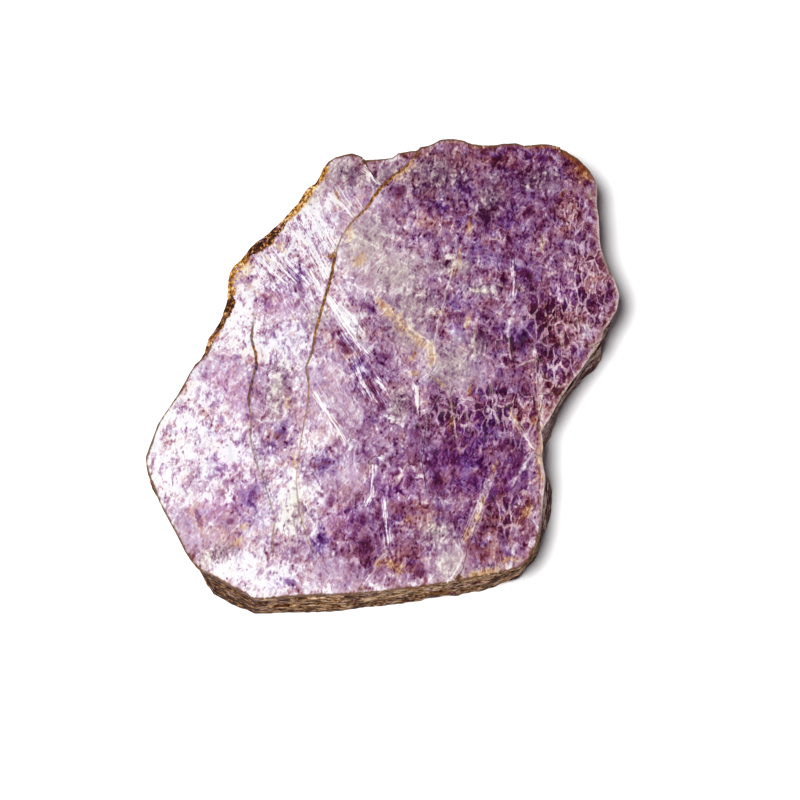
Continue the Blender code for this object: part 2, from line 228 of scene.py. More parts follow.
VEINS = (
    ((9.9, 19), (9.6, 16), (9, 12.6), (8.4, 10.4), (7.9, 8.2), (7.2, 6), (6.6, 2)),
    ((5.4, 6.2), (6.6, 6.9), (8.2, 6.8)),
    ((2.6, 6), (3.8, 4.2), (5.4, 3.1), (6.5, 2), (6.8, 0.4), (6.3, -1.4)),
    ((16.7, -7.6), (18, -9.8), (20.1, -13.4)),
    ((20.1, -13.4), (18.2, -16.2), (16.8, -18.8)),
    ((20.6, -12.4), (20.9, -16.4), (20.8, -20.4)),
    ((15.3, -16.2), (13.6, -17.8), (12.6, -20), (11.6, -22.6), (10.6, -25), (9.8, -27)),
    ((14.6, -17.2), (13.2, -20.4), (12.2, -23), (11.2, -26)),
    ((8.8, -25.8), (10, -27.6), (10.1, -29), (9.2, -30.6), (8.4, -31.8)),
    ((20.3, 2.4), (20.5, -1), (20.6, -5), (20.8, -9)),
    ((21.3, -1.5), (21.2, -8.5)),
    ((17.2, 6.2), (16.9, 4.4), (16.8, 1.8), (17.2, -0.2)),
    ((18, -0.9), (19.4, -0.3), (20.6, 0.4), (20.2, 2.4)),
    ((2.9, -15), (2.2, -16.8), (1.2, -18.4)),
    ((0.3, -27.4), (-1, -29), (-1.6, -30.4), (-3.3, -32.6)),
    ((8.9, -5.6), (9.2, -9), (9.6, -11.8)),
    ((11, -6.6), (11.2, -10.6)),
    ((14.8, -6), (15.3, -9.8)),
    ((14.3, -3), (14.5, -5.6)),
    ((12.3, 4.8), (12, 2.2)),
    ((18, 12), (19.4, 10.4)),
    ((26.4, 6.4), (26.6, 4)),
    ((28, 6), (28, 3.4)),
    ((24.2, 4.4), (24.4, 1.6)),
    ((28.4, 26.8), (29, 24.6)),
)
GROOVES = (
    ((-8.9, 9.9), (-7.3, 8), (-5.6, 5.2), (-4.1, 2.9), (-1.9, 0.3)),
    ((-0.3, -19.4), (0, -22), (0.1, -24.5), (0.5, -27.2), (-0.9, -29.2), (-1.6, -31),
     (-3.4, -32.8)),
    ((6.4, -1.2), (4.7, -3), (4.9, -6.2), (5.4, -9.2)),
    ((17.2, -8.8), (20.1, -13.5), (17.6, -17.3), (16, -19.2)),
)
print(len(CRACKS), "cracks,", len(RAYS), "rays,", len(VEINS), "veins")

# %% [markdown]
# Zones give the face its lightness. Where sheets have parted, air gets between them and the mica
# turns white or milky; where they are tight, it is clear and deep purple. The white and milky
# zones along the left also hold painted glare: the sheen of the light on that side is painted in
# as white, past the top of the ramp. Each kind of zone has a lightness, a contrast and its
# patches. A point takes the mean of the zones around it, and deep and pale spots then darken or
# lighten places within them.

# %% The zones, from split and white to tight and deep
ZONES = {
    # painted glare: the white zone is partly the light's sheen on the left of the face, painted as
    # white
    "white": (1.05, 0.9, (
        (-21.2, 7.6, 4.6, 1.9, 62), (-28.2, -12, 5.5, 2.6, 78), (-12.2, 20.6, 3.4, 1.8, -62),
        (-20.8, -12.6, 3, 1.4, 88), (-18.2, -30.4, 4.6, 1.5, -4), (-16.2, 2, 3.2, 1.7, 10),
        (-29.4, -17.4, 2.4, 1.6, -70), (-13.2, -20.2, 2.6, 1.2, 80), (-19.6, 5, 2.6, 1.2, 88),
    )),
    "milky_and_glare": (0.84, 0.8, (
        (-23.8, -9, 4.6, 2.6, 74), (-15.6, 15.8, 3, 2, -48), (-9.4, 22, 4.2, 1.9, -60),
        (-13.4, 5.4, 3.2, 2.4, 20), (-11.8, -23.4, 3.6, 1.8, 84), (-12.4, -32.2, 4.4, 1.3, -2),
        (-7.6, 14.6, 3.8, 1.4, -70), (-24.6, -18, 3.6, 1.6, 10), (-12.6, 0.4, 2.6, 1.8, 70),
        (-26.2, -4.6, 2.6, 1.5, 55), (-10, -18.6, 2.8, 1.6, 86), (-6.6, 8.6, 3.6, 1.2, -50),
        (-13.6, -20, 2.2, 1.2, 80), (-21, -17, 2.6, 1.4, 20), (-9, -10.6, 2.6, 1.4, 80),
        (-13, -15, 2.6, 1.6, 80),
    )),
    "silvery": (0.7, 0.4, (
        (-3.4, 17.6, 4.4, 3, 60), (0.6, 12.6, 3.6, 2.8, 30), (-7.4, -4.6, 3.6, 2.8, 80),
        (-8.6, 28, 2.6, 1.8, 40), (9.4, -0.8, 3.2, 2.4, -50), (-13.2, 8.6, 2.2, 1.6, 30),
        (3, 3.6, 2.6, 2, -50), (-8.6, 5.4, 2.4, 1.8, 70), (-23.4, -1, 3.2, 1.8, 50),
        (8.6, -29.6, 2.2, 1.6, 60), (-5, -17.6, 2.8, 1.6, 0), (-21.6, -25.2, 3.2, 1.6, 20),
        (-4, 23.4, 2.6, 1.6, 50), (-6.8, -30.8, 2.6, 1.3, 0), (-20.4, -6, 2.6, 1.8, 80),
        (-5.4, -9, 2.6, 2, 0), (-24.8, -22.6, 3, 1.8, -50),
    )),
    "dusty": (0.56, 0.8, (
        (-14.9, -4.4, 3.6, 1.7, 86), (-4.4, 28.8, 3.2, 2.2, -20), (3.8, 20.2, 3, 2.6, 0),
        (8.8, 13.8, 3.6, 1.5, 0), (-14.8, -11, 2.6, 2, 60), (3.6, 8.6, 3, 2.4, 0),
        (13.2, 10.4, 2.8, 1, -6), (12.6, 2, 2.2, 1.6, 80), (6.6, -25, 2.2, 1.9, 0),
        (-12.4, 11.6, 2.8, 1.8, 30), (-2.4, -10.4, 3, 2.2, -40), (-1.8, 8, 2.4, 1.5, -45),
        (-19.6, -21.6, 3, 1.8, 60), (1.8, -6.6, 2.6, 1.5, 84), (1.4, -32, 3.6, 0.9, 4),
        (-12.9, -28, 2.2, 1.5, 0), (-7.6, -14.4, 2.2, 1.9, 0), (0.6, 28.6, 2.4, 1.6, 40),
        (12.2, -22.2, 1.9, 1.5, 50), (13, -31, 3.6, 0.9, 12), (20.6, -15.4, 3.8, 0.9, 88),
        (-22.4, -28, 2.6, 1, 24), (17.2, 6.2, 1.4, 1, 60), (-16, 9.4, 2.4, 1, 62),
    )),
    "clear": (0.42, 0.8, (
        (6.4, 29.8, 4.6, 3.2, 20), (4.2, 24.8, 2.8, 2.4, 0), (6.6, 19.2, 3, 2, 0),
        (24.6, 27.2, 2.4, 2.2, 0), (26.2, 21.6, 3.4, 2.2, 88), (12, 18.2, 3.4, 1.8, 0),
        (23.8, 13.6, 2.8, 2.4, 0), (28.4, 15.2, 3.8, 1.8, 84), (8.6, 9.4, 2.2, 2.2, 80),
        (30.2, 9.2, 3, 2, 70), (26.4, 6.4, 3, 2.4, 50), (-6.6, 2.6, 3, 1.6, -45),
        (0.2, 3.4, 2.4, 1.3, -40), (8, 4.2, 2.2, 1.8, 80), (-1.8, -4.8, 3.6, 1.6, -55),
        (22.4, -4.4, 3.4, 1.8, 75), (6.4, -7.4, 2.8, 2, 70), (0.8, -14, 3, 1.9, 70),
        (1.2, -18.8, 3, 2.2, 70), (-7.6, -24.4, 3.6, 1.8, 60), (3, -24, 2.6, 2.2, 80),
        (19, -8.8, 3.6, 1.5, -60), (8.4, -21.6, 2.2, 1.7, 0), (2.6, -29.4, 2.6, 1.9, -10),
        (14.4, 14, 2.6, 1.6, 20), (13.8, 6.6, 2.6, 1.8, 40), (18.8, -27.6, 2.2, 1.5, 60),
        (15.2, -4.4, 2.6, 1.5, 10), (14.2, -26.8, 2.6, 1.7, -20), (-2.4, -1, 2.2, 1.4, -40),
    )),
    "deep": (0.28, 0.78, (
        (15.8, 29.2, 4.4, 2.3, -6), (14.2, 23.4, 3.2, 2.6, 70), (9.2, 24.2, 2.8, 2.2, 0),
        (20.2, 24.4, 3, 2.2, 60), (17.6, 18.4, 2.6, 2.2, 0), (18.6, 12.8, 2.4, 2.2, 0),
        (20.8, 7.8, 2.8, 2.4, 0), (18.6, 3.2, 2.8, 1.4, 88), (15, 1, 2, 1.4, 60),
        (23, 2.2, 2.8, 2.2, 0), (16.6, -5, 3, 1.5, 0), (9.8, -9.6, 3.2, 2, 0),
        (14.4, -10, 2.2, 1.9, 0), (10.6, -15, 3.4, 2.8, -30), (6.2, -16.4, 2, 2, 0),
        (16.4, -14.8, 2.6, 1.9, 60), (16.6, -22.4, 2.8, 2.3, 40), (-3.2, -23.2, 2.6, 1.9, 80),
        (-3.4, -28, 2.2, 1.6, 70), (26.8, 30, 2.2, 1.6, -40),
    )),
}
DEEP_SPOTS = (
    (24, 10.5, 2.5, 1.5, 80), (8.5, -7, 3, 2, 0), (-15.5, 19, 2.5, 2, 45),
    (-19, 16.5, 3, 1.5, 60), (-19.5, 12, 2, 1.5, 70), (-18, 0, 2, 1.5, 0),
    (-19.5, -17, 2, 1.5, 90), (-2, -4, 2, 1.5, -40), (5, -27, 2, 1.5, 90),
    (21.5, -3.5, 2, 1.5, 80), (9.5, -24.5, 2.5, 1.5, 70), (22, 4.5, 2.5, 1.5, 80),
    (28.5, 21.5, 2, 1, 80), (29.5, 9.5, 2.5, 1.5, 80), (7.5, 27.5, 2, 1.5, 30),
    (-11, 18, 2, 1.5, -60), (-12.5, 13, 1.5, 1.5, 0), (-10, -25.5, 1.5, 1.5, 0),
    (25.5, 7, 2, 1, 0), (27.5, 15.5, 1.5, 1, 0), (25, 22, 1.5, 1.5, 0), (27, 30.5, 2.5, 2, -50),
    (9.5, -9.5, 2, 1.5, 80), (13.5, 4, 3, 1, 88), (-14, 21, 1.5, 1.5, 0),
    (11.5, -25, 1.5, 1.5, 0), (-9, -16, 3.5, 1, 0),
)
PALE_SPOTS = (
    (-4, -22, 4, 1.5, 88), (-17, -13, 1.5, 1.5, 0), (2, -12.5, 2, 1.5, 80),
    (10.5, 2.5, 1.5, 1, 80), (25, 14.5, 2, 1.5, 80), (-7.5, 0.5, 3, 1.5, 80),
    (5, -23.5, 1.5, 1, 90), (8.5, -27, 1.5, 1.5, 0), (18.5, -27.5, 2.5, 2, 80),
    (-18, -26.5, 2, 1, 0), (11.5, 26, 3, 1.5, 0), (-13.5, -6.5, 2, 1, 88), (6, -32, 2, 1, 10),
    (-15.5, -19.5, 2, 1.5, 80), (19, 20, 1.5, 1, 0), (-16, 0, 1, 1, 0), (-8, -25, 2, 1.5, 80),
    (27, 12.5, 1.5, 1.5, 0), (19, -8.5, 2, 1.5, 80), (-13, 17.5, 1.5, 1, -60),
    (-5.5, -15.5, 1.5, 1.5, 0), (24, -0.5, 1.5, 1.5, 0), (21.5, -25.5, 2.5, 1, 80),
)
print(sum(len(patches) for _, _, patches in ZONES.values()), "zones,",
      len(DEEP_SPOTS), "deep and", len(PALE_SPOTS), "pale spots")

# %% [markdown]
# Hues lie over the lightness: bluish violet where the mica is cleanest, magenta where it is
# thickest, wine where iron gets in, and warm grey where dust and clay sit in the splits. The
# right of the face is netted with pale veins, and streaks of lifted fibres run beside the rays.

# %% The hues
GREY = (
    (6.8, 28.6, 5, 3.6, 20), (14.6, 24.6, 4, 2, 80), (21.6, 27.8, 3, 2, 0),
    (-3, 17.8, 4.6, 3.4, 60), (1.4, 13, 4, 3.2, 30), (9.2, -0.8, 3.6, 2.8, -50),
    (3, 4, 3.6, 2.6, -50), (9, 14.2, 3.6, 1.6, 0), (-12.2, -22, 4, 1.7, 84),
    (-9.4, 6, 2.4, 1.4, 70), (12.6, 2.2, 2.2, 1.6, 80), (-5.8, 28.8, 3.6, 2.6, -20),
    (8.4, -29.4, 2.4, 1.9, 60), (13, -30.8, 3.8, 1.2, 12), (-14.9, -4.8, 4.2, 1.5, 86),
    (6.6, -25, 2.2, 1.9, 0), (1.8, -6.6, 2.8, 1.4, 84), (4, 8.4, 3.4, 2.6, 0),
    (13.2, 10.4, 2.8, 1.1, -6), (0, 28.8, 3, 1.7, 40), (-22.4, -28, 2.8, 1.2, 24),
    (-10.4, 25.2, 2.6, 1.2, 50), (7.4, -3.4, 2.4, 1, -40),
)
VIOLET = (
    (-22, -12, 4.6, 3, 70), (-16.6, -21, 3.6, 3, 70), (-14.2, 2, 3.4, 2.4, 60),
    (-12.6, 12, 3.4, 2, -60), (-3.2, 8, 2.4, 1.6, -40), (-8, -15, 2.6, 2, 0),
    (8.8, 24.6, 3.2, 2.8, 0), (16.8, 20, 3, 1.8, 0), (9.8, 9, 2.2, 2, 80),
    (11.6, -15.4, 3.2, 2.6, -30), (18.6, 3.4, 3.2, 1.6, 88), (13.2, -10.6, 2.6, 2, 0),
    (22.8, 31, 2.4, 1.6, 0), (-14.8, -10.8, 2.6, 2, 60), (-13.2, -31.8, 2.6, 1.4, 0),
    (12.8, 16, 3, 1.6, 0), (16.6, -5.2, 3, 1.4, 0), (8.4, 3.6, 2, 2, 0),
    (-8.6, -26.4, 2.2, 1.8, 60), (19.6, 12.6, 2.2, 1.6, 0), (-4.6, -0.6, 3.4, 1.6, -40),
)
MAGENTA = (
    (11.6, -9.4, 4.6, 4, 0), (9.6, -15.4, 3.6, 3, 0), (-21.6, -14, 4, 2.6, 80),
    (-18.6, -19.8, 3, 2, 80), (-22.6, -21.6, 2.6, 2, 0), (24.4, 9.4, 2.6, 2, 80),
    (1.2, -18.6, 3, 2.6, 0), (-6, -23.6, 3, 2.4, 80), (15.4, -18.4, 3.4, 3, 0),
    (-22.4, -3.6, 3.4, 2.2, 80), (-19.6, -6.6, 3, 1.6, 80), (-15, 8.6, 2.6, 2, 0),
)
WINE = (
    (14, 31.4, 8, 1.6, 0), (7, 27.6, 5, 3.6, 20), (27.2, 29, 3, 2.2, -45),
    (25.8, 22.4, 3.6, 2, 84), (18.8, -9.2, 4.2, 1.6, -64), (24.6, 5.6, 4, 3.2, 40),
    (16.8, -23, 3.8, 3, 40), (3.2, -28.8, 3, 2.2, -10), (4.4, -22.8, 3.2, 2.4, 0),
    (22.4, -4.2, 4, 2, 75), (6.2, 20.8, 3, 1.8, 0), (-20.4, -26.4, 2.8, 1.4, 20),
    (14, -27.4, 3.2, 1.8, -10), (-18.4, 0.4, 1.8, 1.6, 0), (5.6, 29.6, 3.8, 2, 30),
    (28.6, 13, 4, 2.2, 80), (-3, 28.4, 2.6, 1.6, 0), (-6.6, 2, 2.6, 1.2, -45),
    (-24.9, -23.2, 2.4, 1, -70),
)
print(len(GREY), "grey,", len(VIOLET), "violet,", len(MAGENTA), "magenta,", len(WINE), "wine")

# %% Stains of iron
OCHRE = (
    (-0.2, 8, 2.5, 0.9, -46), (2, 5.4, 2.4, 1.1, -50), (4.7, 2.8, 2, 0.9, -40),
    (6.3, 0.4, 1.8, 0.8, 88), (4.1, -1.9, 0.9, 0.7, 0), (11.6, -4.6, 1.6, 0.5, 75),
    (-5.3, 19.2, 2.2, 0.7, 80), (-3.6, 15.2, 2, 0.9, 60), (-13.4, -6.2, 1.8, 0.6, 86),
    (12.1, -22.7, 0.9, 0.5, 70), (2.9, -23, 1.1, 0.4, 70), (-0.9, -29.2, 0.9, 0.5, 50),
    (1.7, -30.3, 0.9, 0.5, 0), (1.2, -29.6, 1.8, 0.9, -20), (16.2, -28.9, 2.2, 0.6, 10),
    (-6.9, 25.4, 2, 0.5, -48), (9.4, 13.2, 1, 0.5, 60), (-18.7, -24, 0.9, 0.5, 60),
    (10.2, 15.6, 1.6, 0.4, 84), (19.6, -9.4, 1.3, 0.4, 70), (6.9, 6.9, 1.2, 0.35, 0),
    (-19.6, 13.4, 2, 0.9, 62), (-14.2, 17.8, 1, 0.4, 20), (12.8, -30.8, 3.2, 0.8, 12),
    (-19.8, -26.2, 1.5, 0.6, 40), (-12.4, -14.8, 1.6, 0.4, 88), (7.1, -3.4, 1.2, 0.4, -40),
    (26.3, 31.5, 1.5, 0.8, -40), (28, 29, 1.9, 1.2, -56), (25.2, 32.2, 1.6, 0.4, -20),
    (24.8, 25.4, 1.4, 0.4, 60), (22, 33, 2.4, 0.3, 0), (13.6, 33, 2.2, 0.3, 0),
    (11.6, 21, 1.8, 0.5, 84), (21.8, 17.6, 1.6, 0.5, 80), (-18.6, 10.6, 2, 0.4, -38),
    (20.7, -14, 5, 0.6, 88), (19, -22, 2.4, 0.6, 60), (10.8, -25.2, 1.8, 0.7, 64),
    (12.8, -20.4, 1.6, 0.5, 64), (14.6, -15.6, 1.4, 0.4, 70), (1.4, 28.4, 4, 0.8, 42),
    (11.4, 5.6, 1.6, 0.5, 80), (3.6, 1, 1.8, 0.5, 60), (-14.9, 17, 1.6, 0.5, -40),
    (-16.6, 15.4, 1.4, 0.5, -40), (17.8, -9.2, 2.2, 0.5, -62), (9, -9.6, 1.6, 0.4, 84),
)
print(len(OCHRE), "ochre stains")

# %% The net, the streaks and the flecks
NET = (
    (27, 8, 6, 5, 60), (23.4, -2, 6, 2.8, 75), (14.8, -6.6, 6, 2.8, 0), (9, -8.8, 4.6, 2.8, 0),
    (22, 6, 3.4, 4.4, 0), (18, -9, 3.4, 3, 0), (28, 15, 4, 2.4, 84), (26, 22, 4, 2.4, 84),
    (17, -22.4, 3.6, 3, 40),
)
STREAKS = (
    (-11, 19, 8, 3.6, -62), (-8.6, 9, 8, 3, -58), (-4.8, 4, 7, 3, -55), (-2.4, -3.6, 6, 3, -55),
    (-14.2, 11.2, 5, 2.4, -55), (-6.2, 24.2, 4.6, 2.6, -55), (-16.6, 14.6, 4.6, 2.4, -50),
    (-7.4, -6.8, 5, 2.6, -55),
)
DARK_FLECKS = (
    (-4.9, 27.6, 1.5, 0.8, 80), (-4.5, 29.3, 0.9, 0.6, 0), (-12.2, 11.5, 1.5, 0.5, -75),
    (-12.3, 8.5, 0.9, 0.5, 60), (-17.8, 0.3, 1.2, 0.3, 88), (-4.8, 8.8, 0.9, 0.5, -60),
    (-3.2, 8.2, 0.9, 0.6, 0), (-2, 7.7, 0.9, 0.5, -30), (0.1, 4.7, 0.9, 0.5, 15),
    (-1.7, 3.2, 0.8, 0.6, 0), (-0.1, 0.6, 1.2, 0.5, -15), (-0.6, -0.5, 1.1, 0.35, -35),
    (-6, 2.4, 0.9, 0.6, -40), (-5.3, 1.2, 0.9, 0.5, 0), (-3.4, -0.1, 0.9, 0.5, 70),
    (-2.8, 18.8, 0.9, 0.4, -60), (1.9, 26, 1.1, 0.9, 60), (5.3, 24.4, 1.2, 1.3, 70),
    (2.1, 21, 0.8, 0.5, 0), (-1.8, -4.2, 0.9, 0.4, -55), (-1, -5.6, 0.9, 0.5, -55),
    (-0.5, -6.9, 0.8, 0.5, -45), (-2.6, -13.9, 1.1, 0.45, -40), (6, 18.8, 1, 0.6, 0),
    (7.8, 22.5, 1, 0.7, 0), (11.3, 26, 1.1, 0.6, 0), (14.2, 21, 2.2, 0.55, 84),
    (15.8, 31, 1.2, 0.7, 0), (19, 30.2, 1, 0.6, 0), (22.4, 31.2, 1.2, 0.6, 0),
    (20.1, 22.6, 1.3, 0.7, 60), (8.5, 9.8, 1, 0.5, 80), (19.5, 13, 1.2, 0.8, -30),
    (20.4, 11.2, 1, 0.7, 80), (26.7, 16.1, 0.9, 0.4, -80), (30.4, 8.5, 0.9, 0.6, -60),
    (20.6, 7.4, 0.9, 0.7, 80), (22, 4.5, 1, 0.5, 40), (22, -1.2, 0.9, 0.4, 80),
    (18.6, -4.9, 0.9, 0.4, 85), (15.9, -4.9, 0.9, 0.7, 0), (13.6, -4.9, 0.8, 0.6, 0),
    (13, 3.6, 0.9, 0.6, 60), (15.2, 1.4, 1, 0.7, 30), (18.6, 3, 2.1, 0.8, 80),
    (10.6, -8.6, 0.9, 0.4, 80), (12.9, -8, 1.1, 0.5, 80), (14.6, -10, 1.2, 0.8, 80),
    (9.2, -15.6, 1.6, 0.5, 80), (11.8, -17.6, 0.8, 0.7, 0), (6.9, -17.6, 1.3, 0.9, 70),
    (17.3, -15.7, 1.9, 0.7, 60), (15.6, -12.9, 0.8, 0.5, 0), (15, -19.2, 1.2, 0.8, 0),
    (17.7, -21.9, 0.9, 0.6, 70), (19.5, -24.5, 0.9, 0.4, 60), (16.1, -25.6, 1.6, 0.6, 80),
    (12.6, -26.8, 1.2, 0.7, 0), (14.2, -24, 0.8, 0.5, 0), (4.6, -30.7, 1, 0.7, 0),
    (-2.9, -27.3, 1.6, 0.9, 80), (-3.4, -23.6, 1.8, 1, 60), (-1, -22.4, 1.1, 0.5, 80),
    (-7.5, -20.6, 1, 0.7, 70), (-8, -15, 0.9, 0.7, 0), (-8.2, -26.2, 0.9, 0.6, 0),
    (-12.8, -31.9, 0.9, 0.5, -50), (-18, -20, 1.6, 0.5, 70), (-24.9, -23, 1.7, 0.45, -74),
    (-22.5, -16, 0.8, 0.5, 0), (-20.7, -23.6, 0.8, 0.5, 40), (-20.7, 0.3, 1.1, 0.5, 10),
    (-14.3, -11, 1.2, 0.8, 40), (-14.6, -1.4, 1, 0.4, 10),
)
# Light flecks: partly pale flakes, partly painted glints, where single scales mirror the light.
PALE_FLECKS_AND_GLINTS = (
    (24.1, 28.4, 0.4, 0.3, 50), (26, 23.6, 0.8, 0.35, 60), (26.1, 21.8, 0.5, 0.3, 60),
    (25.6, 14.4, 0.5, 0.4, 0), (26.5, 13.1, 0.45, 0.3, 0), (21, -13, 0.5, 0.35, 60),
    (14.9, 18.4, 0.5, 0.25, 0), (22.9, 13, 0.65, 0.45, 0), (13.1, 10.3, 1.7, 0.3, -6),
    (17, 6, 0.6, 0.3, 10), (13.8, -7.3, 0.3, 0.6, 0), (6.4, -24.1, 0.7, 0.6, 0),
    (18.6, -19.2, 0.7, 0.5, 0), (4.2, -5.6, 2.4, 0.2, 86), (20, 26.6, 0.4, 0.3, 20),
    (8.8, 15.6, 0.9, 0.5, 10), (-7, 24.5, 1.1, 0.3, -45), (-15.7, 18.3, 0.6, 0.3, 10),
    (15.9, 11.2, 0.5, 0.4, 0),
)
print(len(DARK_FLECKS), "dark flecks,", len(PALE_FLECKS_AND_GLINTS), "light ones")

# %% [markdown]
# ## Reading the marks at every point
# Each mark becomes a number on each point of the mesh, which the materials read by name. Patches
# and lines are first bent by a smooth noise, so that no ellipse and no straight line shows. A
# line is kept as the signed distance across it, because a distance that changes sign at the line
# gives a crisp stroke even where the mesh is coarser than the stroke.

# %% Noise and patches
BEND = 0.55
BEND_SIZE = 1.9
FINE_BEND = 0.28
FINE_BEND_SIZE = 0.7


def noise_at(places, size, seed=0.0, stretch=(1.0, 1.0, 1.0)):
    """Smooth noise from -1 to 1 at places in millimetres, for features of about this size."""
    scaled = places / (np.array(stretch) * size) + seed
    return np.array([noise.noise(Vector(row)) for row in scaled.tolist()])


def bent(places):
    """The places, bent by noise in the plane of the face."""
    moved = places[:, :2].copy()
    for axis in (0, 1):
        moved[:, axis] += BEND * noise_at(places, BEND_SIZE, 11.0 + 7.0 * axis)
        moved[:, axis] += FINE_BEND * noise_at(places, FINE_BEND_SIZE, 31.0 + 7.0 * axis)
    return moved


def closeness(flat, patch, hardness):
    """1 at the middle of an elliptical patch and 0 well outside it."""
    x, y, half_length, half_width, turn = patch
    c, s = math.cos(math.radians(turn)), math.sin(math.radians(turn))
    dx, dy = flat[:, 0] - x, flat[:, 1] - y
    along, across = (dx * c + dy * s) / half_length, (dy * c - dx * s) / half_width
    return np.exp(-((along ** 2 + across ** 2) ** hardness))


def cover(flat, patches, hardness=1.3):
    """How far any of these patches covers each place, from 0 to 1."""
    bare = np.ones(len(flat))
    for patch in patches:
        bare *= 1.0 - closeness(flat, patch, hardness)
    return 1.0 - bare


print("patch helpers ready")

# %% Lines
FAR = 1e9
TINY = 1e-9
NUDGES = ((0.02, 0.0), (0.0, 0.02))


def nearest_line(flat, lines):
    """For the nearest line: signed distance across it, share of it passed, and length passed."""
    best = np.full(len(flat), FAR)
    signed = best.copy()
    share, along = np.zeros(len(flat)), np.zeros(len(flat))
    for line in lines:
        points = np.array(line)
        lengths = np.linalg.norm(np.diff(points, axis=0), axis=1)
        starts = np.concatenate([[0.0], np.cumsum(lengths)])
        for k in range(len(points) - 1):
            step = points[k + 1] - points[k]
            offset = flat - points[k]
            t = np.clip(offset @ step / (step @ step), 0.0, 1.0)
            distance = np.linalg.norm(offset - t[:, None] * step, axis=1)
            side = np.sign(step[0] * offset[:, 1] - step[1] * offset[:, 0])
            nearer = distance < best
            best[nearer] = distance[nearer]
            signed[nearer] = (distance * np.where(side == 0, 1.0, side))[nearer]
            along[nearer] = (starts[k] + t * lengths[k])[nearer]
            share[nearer] = (along / starts[-1])[nearer]
    return signed, share, along


def narrowed(flat, lines, half_width, reach, share):
    """Draws places beside each line towards it, so that a groove keeps a share of its width."""
    across = nearest_line(flat, lines)[0]
    slope = np.column_stack([nearest_line(flat + nudge, lines)[0] - across for nudge in NUDGES])
    slope /= np.maximum(np.linalg.norm(slope, axis=1), 1e-6)[:, None]
    distance = np.abs(across)
    wanted = np.interp(distance, [0.0, half_width, reach], [0.0, half_width * share, reach])
    shift = (wanted - distance) * np.sign(across)
    return flat + np.where(distance < reach, shift, 0.0)[:, None] * slope


print("line helpers ready")

# %% [markdown]
# ## The scaly relief
# The face is not smooth: thin scales of mica overlap like shingles, each tilted a little its own
# way, and more so on the right. Every scale is one cell of a scatter of points, with its own
# height and slope. A sculptor would stamp each one; a rule reaches them all at once, and the same
# way each time. First the points are sorted: what lies on the face, the walls, the underside,
# and the brink where the face ends.

# %% Sort the points of the mesh
FACE_FROM = 6.6
BRINK_FROM = 6.2
BRINK_REACH = 2.0
WALL_REACH = 3.0


def distances(tree, spots):
    """How far each spot is from the nearest place in the tree, as seen from above."""
    return np.array([tree.find((x, y, 0.0))[2] for x, y, _ in spots.tolist()])


slab_mesh = bpy.data.meshes.new("lepidolite_slab")
fine.normal_update()
fine.to_mesh(slab_mesh)
fine.free()
places = np.empty(len(slab_mesh.vertices) * 3)
slab_mesh.vertices.foreach_get("co", places)
places = places.reshape(-1, 3) / MM
kinds = np.zeros((len(places), 3), bool)
on_step = np.zeros(len(places), bool)
outward = np.zeros((len(places), 2))
for polygon in slab_mesh.polygons:
    corners = list(polygon.vertices)
    kinds[corners, polygon.material_index] = True
    if polygon.material_index == EDGE:
        outward[corners] += np.array(polygon.normal[:2]) * polygon.area / MM ** 2
    elif polygon.material_index == FACE and polygon.normal.z < LEVEL_SLOPE:
        on_step[corners] = True
outward /= np.maximum(np.linalg.norm(outward, axis=1), TINY)[:, None]
to_rim = distances(rim_tree, places * MM) / MM
height = places[:, 2]
on_face = kinds[:, FACE] | (height > FACE_FROM)
on_wall = kinds[:, EDGE] & (to_rim < WALL_REACH)
at_brink = kinds[:, EDGE] & kinds[:, FACE] & (to_rim < BRINK_REACH) & (height > BRINK_FROM)
to_brink = distances(tree_over([(i, places[i]) for i in np.flatnonzero(at_brink)]), places)
print(on_face.sum(), "points on the face,", on_wall.sum(), "on the walls")

# %% Scales of mica
SCALE_SIZE = 1.25
SMALL_SCALE_SIZE = 0.62
SMALL_SCALE_SHARE = 0.6
SCALE_HEIGHT = 0.085
SCALE_SLOPE = 0.15
CALM_SHARE = 0.3
ROLL_HEIGHT, ROLL_SIZE = 0.1, 9.0
GRAIN_HEIGHT, GRAIN_SIZE = 0.022, 0.5

flat = bent(places)
straight = places[:, :2]
bent_places = np.column_stack([flat, height])
level = places * np.array([1.0, 1.0, 0.0])


def scales(places, size, seed):
    """Height of overlapping tilted scales of about this size, in scale heights."""
    heights = np.zeros(len(places))
    slope = SCALE_SLOPE * size / SCALE_HEIGHT
    for i, (x, y, _) in enumerate(places.tolist()):
        spot = Vector((x / size, y / size, seed))
        middle = noise.voronoi(spot, distance_metric="DISTANCE", exponent=2.5)[1][0]
        lean_x, lean_y, rise = (part - 0.5 for part in noise.cell_vector(middle * 7.3))
        heights[i] = rise + slope * (lean_x * (spot.x - middle.x) + lean_y * (spot.y - middle.y))
    return heights


rightness = (flat[:, 0] + 0.25 * flat[:, 1] - 2.0) / 3.0
scaliness = CALM_SHARE + (1.0 - CALM_SHARE) / (1.0 + np.exp(-rightness))
relief = SCALE_HEIGHT * scaliness * scales(bent_places, SCALE_SIZE, 3.1)
relief += SMALL_SCALE_SHARE * SCALE_HEIGHT * scaliness * scales(bent_places, SMALL_SCALE_SIZE, 8.4)
relief += ROLL_HEIGHT * noise_at(level, ROLL_SIZE, 2.0)
relief += GRAIN_HEIGHT * noise_at(level, GRAIN_SIZE, 5.0)
print("scales from", round(relief.min(), 3), "to", round(relief.max(), 3), "mm")

# %% [markdown]
# Rays are the rims of lifted sheets, so the face steps down along one side of each. The rim is
# worn where it has been handled. Clay and dust fill most of the depth of the cracks and grooves,
# which are drawn together too, so that they stay hairlines.

